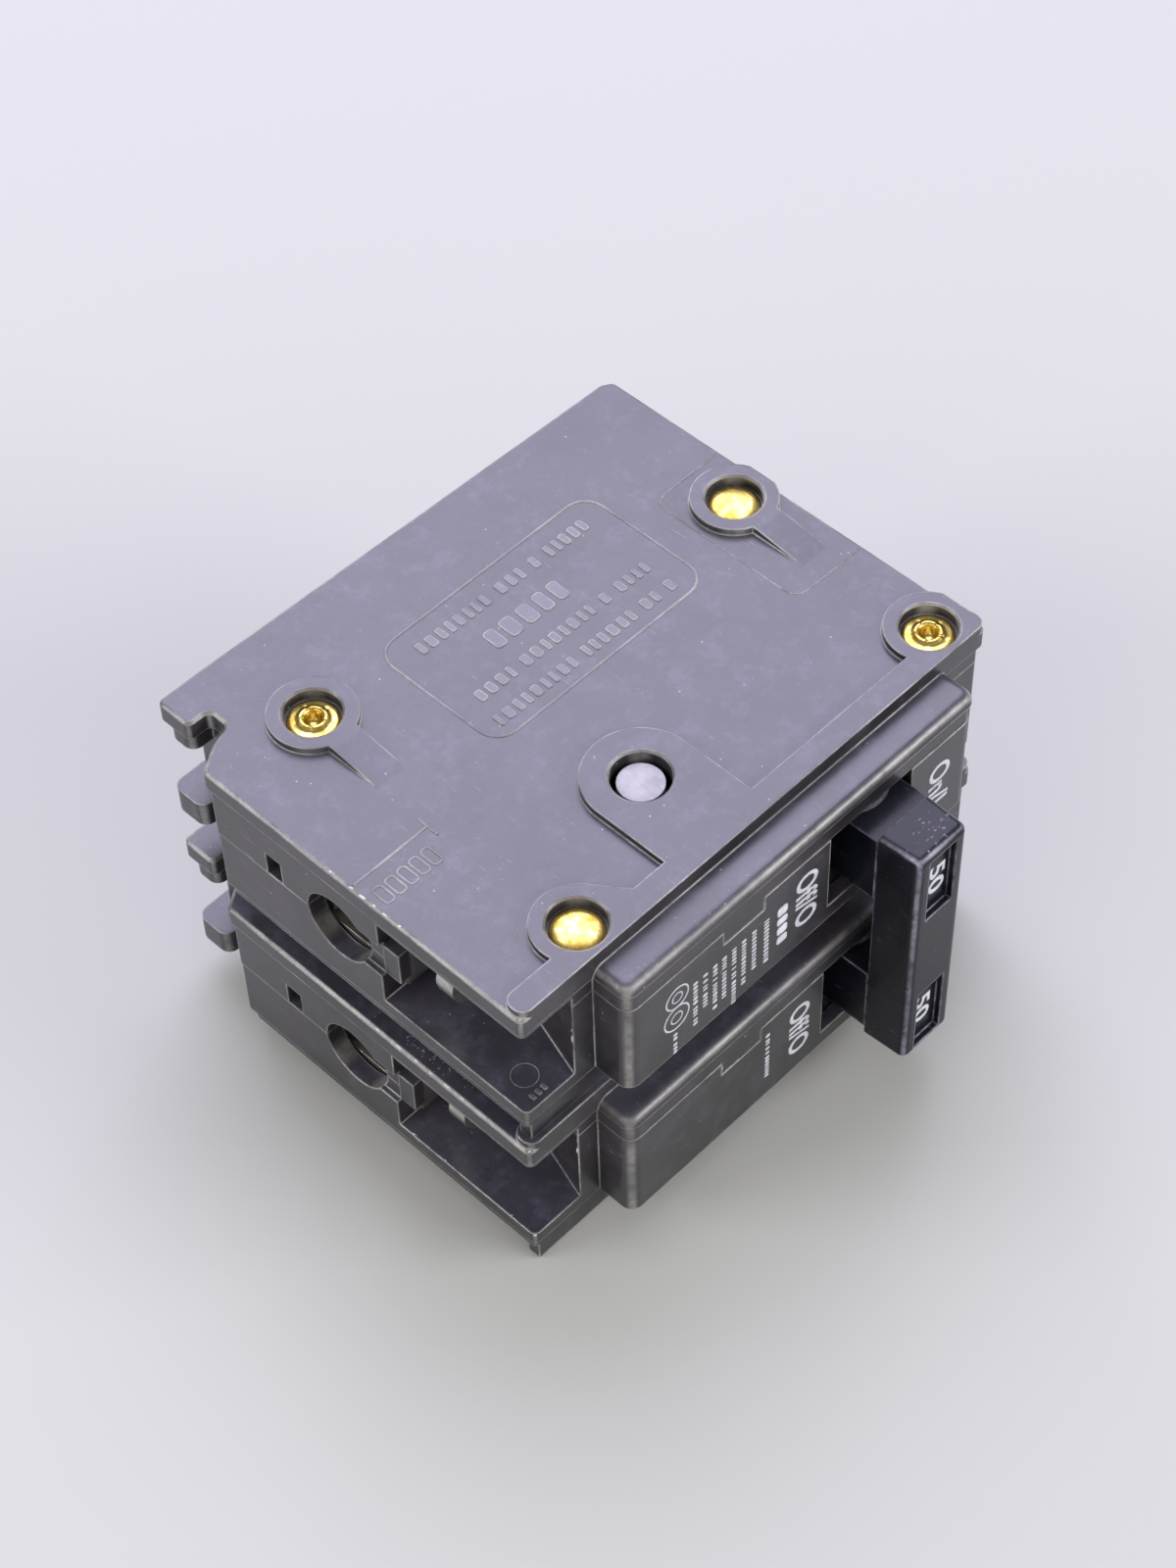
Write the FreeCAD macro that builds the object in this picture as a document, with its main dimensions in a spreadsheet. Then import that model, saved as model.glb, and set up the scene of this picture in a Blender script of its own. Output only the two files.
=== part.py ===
import FreeCAD, Part
import math
import os
import re
import Sketcher

# Two-pole plug-in circuit breaker lying on its side, with a common trip and a handle tie.
# Row frame: +Z runs across the poles, -Y is the front with the handles, -X the wiring end,
# +X the bus-jaw end, +Y the back that faces the panel. The origin is the bottom centre of the whole part.
# Each piece is drawn in its pole's own frame: x from the wiring end, y from the front edge of the side
# plate, z from the tops of the rivet bosses, so that everything else in the pole has a negative z.

Vector = FreeCAD.Vector
Rotation = FreeCAD.Rotation

SIZES = {
    # case
    "pole_pitch": 25.4,
    "case_len": 76.2,
    "case_depth": 60.4,
    "corner_round": 0.9,
    "edge_bevel": 0.35,
    "field_drop": 1.0,
    "rim_band": 3.7,
    "rim_step": 0.4,
    "parting": 6.5,
    "floor_top": 19.2,
    "floor_low": 21.2,
    "skirt_low": 22.8,
    "skin": 2.4,
    "wall_t": 2.6,
    "groove_in": 4.0,
    "mid_z": 12.7,
    # mounting hook at the wiring end
    "hook_rise": 1.4,
    "hook_nose": 5.4,
    "hook_tip": 3.3,
    "notch_gap": 3.0,
    "notch_in": 6.5,
    "shoulder": 10.2,
    "hook_low": 19.8,
    "hook_thick": 3.8,
    "hook_round": 1.5,
    # escutcheon on the front
    "esc_left": 10.9,
    "esc_right": 69.0,
    "esc_out": 5.0,
    "esc_drop": 2.3,
    "esc_round": 1.4,
    "esc_corner": 1.7,
    "esc_wall": 2.0,
    "esc_step": 0.25,
    "tab_x": 26.4,
    "tab_wide": 6.6,
    "tab_drop": 2.2,
    # wiring end: screw recess, wire entry, lug and binding screw
    "recess_mouth": 7.8,
    "recess_deep": 12.6,
    "recess_bend": 16.0,
    "recess_back": 22.9,
    "recess_top": 4.9,
    "term_wall": 2.4,
    "block_len": 15.4,
    "wire_y": 29.9,
    "wire_level": 12.0,
    "wire_bore": 4.75,
    "lug_gap": 0.3,
    "lug_len": 9.2,
    "lug_wide": 15.2,
    "lug_high": 11.2,
    "lug_wall": 1.6,
    "lug_front": 3.1,
    "screw_x": 6.8,
    "screw_head": 3.9,
    "screw_head_t": 2.6,
    "screw_face": 14.0,
    "screw_shank": 2.4,
    "screw_end": 27.4,
    # rivets, their bosses and the pivot hole in the side plate
    "rivet_left": 13.9,
    "rivet_back": 46.9,
    "rivet_near": 13.1,
    "rivet_front": 4.4,
    "rivet_jaw": 5.1,
    "rivet_high": 34.7,
    "rivet_shank": 2.0,
    "rivet_head": 3.2,
    "rivet_head_t": 1.0,
    "rivet_bore": 1.15,
    "seat_r": 3.5,
    "seat_deep": 1.8,
    "lip": 0.25,
    "boss_r": 5.4,
    "pillar_r": 3.4,
    "ramp_wide": 4.3,
    "ramp_len": 9.0,
    "hub_hole": 3.6,
    "pad_r": 7.0,
    "strip_wide": 3.2,
    "strip_share": 0.44,
    # handle, slot and tie
    "handle_x": 52.3,
    "hub_r": 4.7,
    "hub_half": 5.6,
    "lever_half": 5.2,
    "lever_wide": 8.8,
    "lever_out": 8.35,
    "tongue_wide": 5.2,
    "tongue_out": 12.2,
    "tongue_half": 3.4,
    "stub_r": 1.6,
    "stub_len": 2.2,
    "slot_off": 8.3,
    "slot_on": 5.6,
    "slot_half": 6.1,
    "tie_back": 8.4,
    "tie_front": 14.4,
    "tie_wide": 8.8,
    "tie_face": 8.2,
    "tie_over": 6.0,
    "tie_under": 7.1,
    "tie_round": 1.0,
    "window_wide": 4.6,
    "window_half": 5.4,
    "window_drop": 0.7,
    "window_deep": 0.9,
    # contacts and line side
    "arm_back": 27.7,
    "arm_y": 10.5,
    "arm_pin": 1.2,
    "arm_half": 1.2,
    "arm_wide": 3.6,
    "arm_len": 21.0,
    "arm_lean": 57.4,
    "arm_open": 7.2,
    "contact_r": 2.0,
    "contact_t": 1.2,
    "contact_y": 19.5,
    "contact_gap": 0.1,
    "strap_t": 1.5,
    "strap_back": 12.2,
    "strap_half": 3.6,
    "jaw_left": 57.8,
    "jaw_front": 44.0,
    "jaw_len": 12.0,
    "jaw_in": 3.4,
    "jaw_gap": 1.3,
    "finger_t": 1.2,
    "clip_t": 0.5,
    "stab_half": 2.3,
    # trip parts
    "cradle_x": 32.5,
    "cradle_y": 13.4,
    "cradle_pin": 1.5,
    "cradle_head": 2.8,
    "cradle_hub": 3.2,
    "cradle_t": 1.4,
    "cradle_drop": 14.2,
    "bimetal_x": 24.0,
    "bimetal_t": 1.0,
    "bimetal_top": 19.0,
    "foot_y": 51.0,
    "armature_x": 28.3,
    "armature_t": 1.0,
    "armature_y": 41.0,
    "bar_x": 33.5,
    "bar_y": 30.0,
    "bar_r": 1.5,
    "load_x": 20.0,
    "load_t": 1.2,
    "spring_r": 1.5,
    "spring_wire": 0.28,
    "running": 0.05,
}

doc = FreeCAD.newDocument("breaker")
sheet = doc.addObject("Spreadsheet::Sheet", "Dims")
for row, (alias, number) in enumerate(SIZES.items(), start=1):
    sheet.set(f"A{row}", alias)
    sheet.set(f"B{row}", str(number))
    sheet.setAlias(f"B{row}", alias)
doc.recompute()
nodes = []


def formula(text):
    """Writes a size expression with each name pointed at its cell."""
    return re.sub(r"[a-z_]+",
                  lambda word: f"Dims.{word.group()}" if word.group() in SIZES else word.group(), text)


def bind(thing, prop, text):
    thing.setExpression(prop, formula(text))


def size(alias):
    return float(sheet.get(alias))


def box(name, x, y, z):
    solid = doc.addObject("Part::Box", name)
    for prop, axis, (low, high) in zip(("Length", "Width", "Height"), "xyz", (x, y, z)):
        bind(solid, prop, f"({high}) - ({low})")
        bind(solid, f"Placement.Base.{axis}", low)
    return solid


def rod(name, x, y, z, radius):
    """A cylinder along Z; z is its (low, high) pair."""
    solid = doc.addObject("Part::Cylinder", name)
    bind(solid, "Radius", radius)
    bind(solid, "Height", f"({z[1]}) - ({z[0]})")
    for axis, text in zip("xyz", (x, y, z[0])):
        bind(solid, f"Placement.Base.{axis}", text)
    return solid


def rod_along(direction, name, x, y, z, radius):
    """A cylinder along X or Y; the coordinate on that axis is a (low, high) pair."""
    solid = doc.addObject("Part::Cylinder", name)
    solid.Placement = FreeCAD.Placement(Vector(), Rotation(Vector(0, 0, 1), direction))
    low, high = {"x": x, "y": y}["x" if direction.x else "y"]
    bind(solid, "Radius", radius)
    bind(solid, "Height", f"({high}) - ({low})")
    starts = (low, y, z) if direction.x else (x, low, z)
    for axis, text in zip("xyz", starts):
        bind(solid, f"Placement.Base.{axis}", text)
    return solid


def bar(name, x, y, z, length, width, lean):
    """A flat bar that starts at (x, y) and runs along the angle lean, measured from +X."""
    solid = doc.addObject("Part::Box", name)
    bind(solid, "Length", length)
    bind(solid, "Width", width)
    bind(solid, "Height", f"({z[1]}) - ({z[0]})")
    solid.Placement = FreeCAD.Placement(Vector(), Rotation(Vector(0, 0, 1), 0))
    bind(solid, "Placement.Rotation.Angle", lean)
    bind(solid, "Placement.Base.x", f"{x} + sin(({lean}) * 1 deg) * ({width}) / 2")
    bind(solid, "Placement.Base.y", f"{y} - cos(({lean}) * 1 deg) * ({width}) / 2")
    bind(solid, "Placement.Base.z", z[0])
    return solid


def outline_sketch(body, name, corners, level):
    """A closed sketch through the corners, each one held by its distances from the origin."""
    sketch = body.newObject("Sketcher::SketchObject", name)
    plane = next(item for item in body.Origin.OriginFeatures if item.Role == "XY_Plane")
    sketch.AttachmentSupport = (plane, [""])
    sketch.MapMode = "FlatFace"
    bind(sketch, ".AttachmentOffset.Base.z", level)
    count = len(corners)
    ring = [Vector(index, index * index, 0) for index in range(count)]
    for index in range(count):
        sketch.addGeometry(Part.LineSegment(ring[index], ring[(index + 1) % count]), False)
    for index in range(count):
        sketch.addConstraint(Sketcher.Constraint("Coincident", index, 2, (index + 1) % count, 1))
    for index, (x, y) in enumerate(corners):
        for kind, text, start in (("DistanceX", x, ring[index].x), ("DistanceY", y, ring[index].y)):
            number = sketch.addConstraint(Sketcher.Constraint(kind, -1, 1, index, 1, start))
            bind(sketch, f"Constraints[{number}]", text)
    return sketch


def is_upright(edge):
    start, end = edge.Vertexes[0].Point, edge.Vertexes[-1].Point
    return abs(start.x - end.x) + abs(start.y - end.y) < 1e-6 and abs(start.z - end.z) > 1e-6


def edge_names(shape, wanted):
    return [f"Edge{index}" for index, edge in enumerate(shape.Edges, start=1) if wanted(edge)]


def ease(body, kind, prop, text, wanted):
    """Rounds (Fillet) or bevels (Chamfer) the wanted edges of the body as it stands."""
    doc.recompute()
    base = body.Tip
    feature = body.newObject(f"PartDesign::{kind}", f"{body.Name}_{kind}")
    feature.Base = (base, edge_names(base.Shape, wanted))
    bind(feature, prop, text)
    return feature


def prism(name, corners, z):
    body = doc.addObject("PartDesign::Body", name)
    sketch = outline_sketch(body, f"{name}_sketch", corners, z[0])
    pad = body.newObject("PartDesign::Pad", f"{name}_pad")
    pad.Profile = sketch
    bind(pad, "Length", f"({z[1]}) - ({z[0]})")
    return body


def fuse(name, *solids):
    joined = doc.addObject("Part::MultiFuse", name)
    joined.Shapes = list(solids)
    joined.Refine = True
    return joined


def cut(name, base, *tools):
    result = doc.addObject("Part::Cut", name)
    result.Base = base
    result.Tool = tools[0] if len(tools) == 1 else fuse(f"{name}_tools", *tools)
    result.Refine = True
    return result


def group(name, *solids):
    """Separate solids of one kind that share a node."""
    compound = doc.addObject("Part::Compound", name)
    compound.Links = list(solids)
    return compound


LEVEL = {"a": "pole_pitch * 2", "b": "pole_pitch"}


def place(piece, label, level, x="0", y="0"):
    """Puts a piece drawn in its pole's frame into the row frame and makes it a node."""
    piece.Label = label
    shifts = {
        "x": f"({x}) - case_len / 2",
        "y": f"({y}) - (case_depth + hook_rise - tie_front) / 2",
        "z": level,
    }
    held = {path.lstrip("."): text for path, text in piece.ExpressionEngine}
    for axis, shift in shifts.items():
        path = f"Placement.Base.{axis}"
        before = f"({held[path]}) + " if path in held else ""
        piece.setExpression(path, before + formula(shift))
    nodes.append(piece)
    return piece


# Places that several pieces share, as size expressions in the pole's frame.
RIVETS = {
    "left": ("rivet_left", "rivet_back"),
    "near": ("rivet_near", "rivet_front"),
    "corner": ("case_len - rivet_jaw", "rivet_front"),
    "jaw": ("case_len - rivet_jaw", "rivet_high"),
}
NOTCH_TOP = "case_depth + hook_rise - hook_nose"
NOTCH_LOW = f"{NOTCH_TOP} - notch_gap"
CAVITY_RIGHT = "case_len - wall_t"
CAVITY_BACK = "case_depth - wall_t"
LUG_X = "rim_step + term_wall + lug_gap"
LUG_Y = "wire_y - lug_wide / 2 - 0.7"
STRAP_Y = f"{LUG_Y} + lug_wide - lug_wall - load_t"
SLOT_LOW = "0 - mid_z - slot_half"
BROW_LOW = "0 - esc_drop - esc_round"
BELOW = "0 - pole_pitch - 1"
ARM_X = "case_len - arm_back"
STRAP_X = "case_len - strap_back"
ARC_LEVELS = ("0 - mid_z - 5", "0 - mid_z + 5")
SHAFTS = {"handle": ("handle_x", "0", "stub_r"), "arm": (ARM_X, "arm_y", "arm_pin"),
          "armature": ("armature_x + armature_t / 2", "armature_y", "arm_pin")}


def plate_corners(inset):
    """The side plate's outline with its hook; the walls below use the same outline, set in."""
    return [
        (inset, inset),
        (f"case_len - {inset}", inset),
        (f"case_len - {inset}", f"case_depth - 0.9 - {inset}"),
        (f"case_len - 1.4 - {inset}", f"case_depth - {inset}"),
        ("hook_tip + 7", f"case_depth + hook_rise - {inset}"),
    ]


def hooked_outline():
    return plate_corners("0") + [
        ("hook_tip", "case_depth + hook_rise"),
        ("hook_tip", NOTCH_TOP),
        ("notch_in", NOTCH_TOP),
        ("notch_in", NOTCH_LOW),
        ("hook_tip + 0.2", f"{NOTCH_LOW} - 1"),
        ("0", "case_depth - shoulder"),
    ]


def wall_outline():
    return plate_corners("rim_step")[:4] + [
        ("notch_in + rim_step", "case_depth - rim_step"),
        ("notch_in + rim_step", f"{NOTCH_LOW} - rim_step"),
        ("hook_tip + rim_step", f"{NOTCH_LOW} - 1 - rim_step"),
        ("rim_step", "case_depth - shoulder - rim_step"),
    ]


def hook_tongue(name, x, y, z):
    """A hook with its free end rounded."""
    tongue = prism(name, [(x[0], y[0]), (x[1], y[0]), (x[1], y[1]), (x[0], y[1])], z)
    ease(tongue, "Fillet", "Radius", "hook_round",
         lambda edge: is_upright(edge) and edge.BoundBox.XMax < size("notch_in"))
    return tongue


def lip(name, x, y, radius):
    """The broken edge at the mouth of a hole in the raised level."""
    cone = doc.addObject("Part::Cone", name)
    bind(cone, "Radius1", radius)
    bind(cone, "Radius2", f"{radius} + lip + 0.5")
    bind(cone, "Height", "lip + 0.5")
    for axis, text in zip("xyz", (x, y, "0 - lip")):
        bind(cone, f"Placement.Base.{axis}", text)
    return cone


def cavity(name, z):
    corners = [
        ("block_len", "wall_t"),
        (CAVITY_RIGHT, "wall_t"),
        (CAVITY_RIGHT, "jaw_front - 1.6"),
        ("jaw_left", "jaw_front - 1.6"),
        ("jaw_left", CAVITY_BACK),
        ("block_len", CAVITY_BACK),
    ]
    return prism(name, corners, z)


def escutcheon_cavity(name, z):
    x = ("esc_left + esc_wall + rivet_head", "esc_right - esc_wall")
    return box(name, x, ("esc_wall - esc_out", "wall_t + 0.1"), z)


def recess(name, z):
    corners = [
        ("-1", "-1"),
        ("recess_mouth", "-1"),
        ("recess_mouth", "0"),
        ("recess_deep", "recess_bend"),
        ("recess_deep", "recess_back"),
        ("-1", "recess_back"),
    ]
    return prism(name, corners, z)


def wiring_cuts(tag):
    """What the load wire, its lug and the strap need; the same cuts in the cover and the base."""
    lug_low = "0 - wire_level - lug_high / 2 - lug_gap"
    lug_top = "0 - wire_level + lug_high / 2 + lug_gap"
    return [
        box(f"lug_pocket_{tag}", ("rim_step + term_wall", f"{LUG_X} + lug_len + lug_gap"),
            ("recess_back - 0.1", f"{LUG_Y} + lug_wide + lug_gap"), (lug_low, lug_top)),
        rod_along(Vector(1, 0, 0), f"wire_bore_{tag}", ("-1", "rim_step + term_wall + 0.1"), "wire_y",
                  "0 - wire_level", "wire_bore"),
        box(f"entry_shelf_{tag}", ("-1", "rim_step + term_wall / 3"), ("recess_back - 0.1", "wire_y - 3"),
            ("0 - wire_level - 2.6", "0 - wire_level + 3.1")),
        box(f"strap_way_{tag}", (f"{LUG_X} + lug_len", "block_len + 0.1"),
            (f"{STRAP_Y} - 0.2", f"{STRAP_Y} + load_t + 0.2"),
            ("0 - wire_level - 3.8", "0 - wire_level + 3.8")),
    ]


def raised_parts(tag):
    """What stands above the side plate's field: bosses, ramps, the pivot hole's pad and the front strip."""
    z = ("0 - field_drop - 0.1", "0")
    solids = [rod(f"boss_{name}_{tag}", x, y, z, "boss_r") for name, (x, y) in RIVETS.items()]
    for name in ("left", "jaw"):
        x, y = RIVETS[name]
        ramp = doc.addObject("Part::Wedge", f"ramp_{name}_{tag}")
        for prop, text in (("Xmin", "0"), ("Xmax", "ramp_wide"), ("X2min", "0"), ("X2max", "ramp_wide"),
                           ("Ymin", "0"), ("Ymax", "field_drop + 0.1"), ("Zmin", "0"), ("Zmax", "ramp_len"),
                           ("Z2min", "0"), ("Z2max", "1.2")):
            bind(ramp, prop, text)
        ramp.Placement = FreeCAD.Placement(Vector(), Rotation(Vector(1, 0, 0), 90))
        bind(ramp, "Placement.Base.x", f"{x} - ramp_wide / 2")
        bind(ramp, "Placement.Base.y", f"{y} - boss_r + 0.8")
        bind(ramp, "Placement.Base.z", z[0])
        solids.append(ramp)
    solids.append(rod(f"hole_pad_{tag}", "cradle_x", "cradle_y", z, "pad_r"))
    solids.append(box(f"hole_pad_foot_{tag}", ("cradle_x - pad_r", "cradle_x + pad_r"),
                      ("strip_wide - 0.2", "cradle_y"), z))
    near_x, near_y = RIVETS["near"]
    solids.append(prism(f"near_web_{tag}",
                        [(near_x, "strip_wide - 0.2"), (f"{near_x} + 7.6", "strip_wide - 0.2"),
                                            (f"{near_x} + 3.9", f"{near_y} + 3.7")], z))
    field = box(f"raised_field_{tag}", ("0.5", "case_len - 0.1"), ("0.5", "case_depth"),
                ("0 - rim_band", "1"))
    trimmed = doc.addObject("Part::Common", f"raised_{tag}")
    trimmed.Base = fuse(f"raised_set_{tag}", *solids)
    trimmed.Tool = field
    strip = prism(f"strip_{tag}", [("0.4", "0"), ("case_len", "0"), ("case_len", "strip_wide"),
                                   ("0.4", "strip_wide")], ("0 - field_drop - edge_bevel", "0"))
    ease(strip, "Fillet", "Radius", "strip_wide * strip_share", is_upright)
    return [trimmed, strip]


def case_cover(pole):
    tag = f"cover_{pole}"
    plate = prism(f"plate_{tag}", hooked_outline(), ("0 - rim_band", "0 - field_drop"))
    ease(plate, "Fillet", "Radius", "corner_round", is_upright)
    field = -size("field_drop") - 1e-6
    ease(plate, "Chamfer", "Size", "edge_bevel", lambda edge: edge.BoundBox.ZMin > field)
    walls = prism(f"walls_{tag}", wall_outline(), ("0 - parting", "0.1 - rim_band"))
    ease(walls, "Fillet", "Radius", "corner_round", is_upright)
    hook = hook_tongue(f"hook_{tag}", ("hook_tip + rim_step", "notch_in + 4"),
                       (f"{NOTCH_TOP} + rim_step", "case_depth + 0.6"),
                       ("0 - parting", "0.1 - rim_band"))
    block = box(f"block_{tag}", ("rim_step", "block_len"),
                ("recess_back", "case_depth - shoulder - rim_step"), ("0 - wire_level", "0.1 - rim_band"))
    brow = prism(f"brow_{tag}", [("esc_left", "1"), ("esc_left", "0 - esc_out"),
                                 ("esc_right", "0 - esc_out"),
                                 ("esc_right", "1")], (f"{BROW_LOW} - 0.1", "0 - esc_drop"))
    ease(brow, "Fillet", "Radius", "esc_corner", lambda edge: is_upright(edge) and edge.BoundBox.YMax < 0)
    top = -size("esc_drop") - 1e-6
    ease(brow, "Fillet", "Radius", "esc_round",
         lambda edge: edge.BoundBox.ZMin > top and edge.BoundBox.YMin < 0)
    band = prism(f"band_{tag}", [("esc_left + esc_step", "1"),
                                 ("esc_left + esc_step", "esc_step - esc_out"),
                                 ("esc_right - esc_step", "esc_step - esc_out"),
                                 ("esc_right - esc_step", "1")], ("0 - parting", BROW_LOW))
    ease(band, "Fillet", "Radius", "esc_corner", lambda edge: is_upright(edge) and edge.BoundBox.YMax < 0)
    shell = fuse(f"outer_{tag}", plate, walls, hook, block, brow, band, *raised_parts(tag))
    hollow = cut(
        f"hollow_{tag}", shell,
        cavity(f"cavity_{tag}", ("0 - parting - 1", "0 - skin")),
        escutcheon_cavity(f"esc_cavity_{tag}", ("0 - parting - 1", "0 - esc_drop - esc_wall")),
        recess(f"recess_{tag}", ("0 - floor_top", "0 - recess_top")),
        *wiring_cuts(tag),
    )
    inner = [rod(f"pillar_{name}_{tag}", x, y, ("0 - parting", "0 - rim_band / 2"), "pillar_r")
             for name, (x, y) in RIVETS.items() if name != "left"]
    inner.append(rod(f"pillar_left_{tag}", *RIVETS["left"], ("0 - wire_level", "0 - rim_band / 2"),
                     "pillar_r"))
    inner.append(box(f"tab_{tag}", ("tab_x", "tab_x + tab_wide"),
                     ("esc_step - esc_out", "esc_wall - esc_out"),
                     ("0 - parting - tab_drop", "0.1 - parting")))
    inner.append(rod(f"hub_pad_{tag}", "handle_x", "0",
                     ("0.3 - mid_z + hub_half", "0 - skin + 0.1"), "stub_r * 2"))
    inner.append(rod(f"arm_pad_{tag}", ARM_X, "arm_y", ("0.5 - mid_z + arm_half", "0.1 - skin"),
                     "arm_pin * 2"))
    inner.append(rod(f"latch_pad_{tag}", *SHAFTS["armature"][:2], ("-7", "0.1 - skin"), "arm_pin * 2"))
    inner.append(rod(f"bar_pad_{tag}", "bar_x", "bar_y", ("-6.5", "0.1 - skin"), "bar_r * 2"))
    holes = [rod(f"rivet_way_{name}_{tag}", x, y, ("-30", "3"), "rivet_shank + running")
             for name, (x, y) in RIVETS.items()]
    if pole == "a":
        holes += [rod(f"seat_{name}_{tag}", x, y, ("0 - seat_deep", "3"), "seat_r")
                  for name, (x, y) in RIVETS.items()]
        holes += [lip(f"seat_lip_{name}_{tag}", x, y, "seat_r") for name, (x, y) in RIVETS.items()]
        bar_top = "-4.2"
    else:
        bar_top = "3"
    holes.append(rod(f"bar_way_{tag}", "bar_x", "bar_y", ("-30", bar_top), "bar_r + running"))
    holes.append(rod(f"hub_hole_{tag}", "cradle_x", "cradle_y", ("-30", "3"), "hub_hole"))
    holes.append(lip(f"hub_lip_{tag}", "cradle_x", "cradle_y", "hub_hole"))
    for name, (x, y, radius) in SHAFTS.items():
        holes.append(rod(f"{name}_bearing_{tag}", x, y, ("-30", "-4.3"), f"{radius} + running"))
    holes.append(box(f"handle_slot_{tag}", ("handle_x - slot_off", "handle_x + slot_on"),
                     ("-20", "esc_wall - esc_out + 0.1"), ("-30", "0.1 - parting")))
    holes.append(box(f"key_slot_{tag}", ("-1", "2.4"), ("wire_y + 8.9", "wire_y + 11.4"),
                     ("0 - wire_level - 1", "0 - wire_level + 3.7")))
    cover = cut(f"{tag}_solid", fuse(f"filled_{tag}", hollow, *inner), *holes)
    place(cover, f"case_{tag}", LEVEL[pole])


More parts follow.
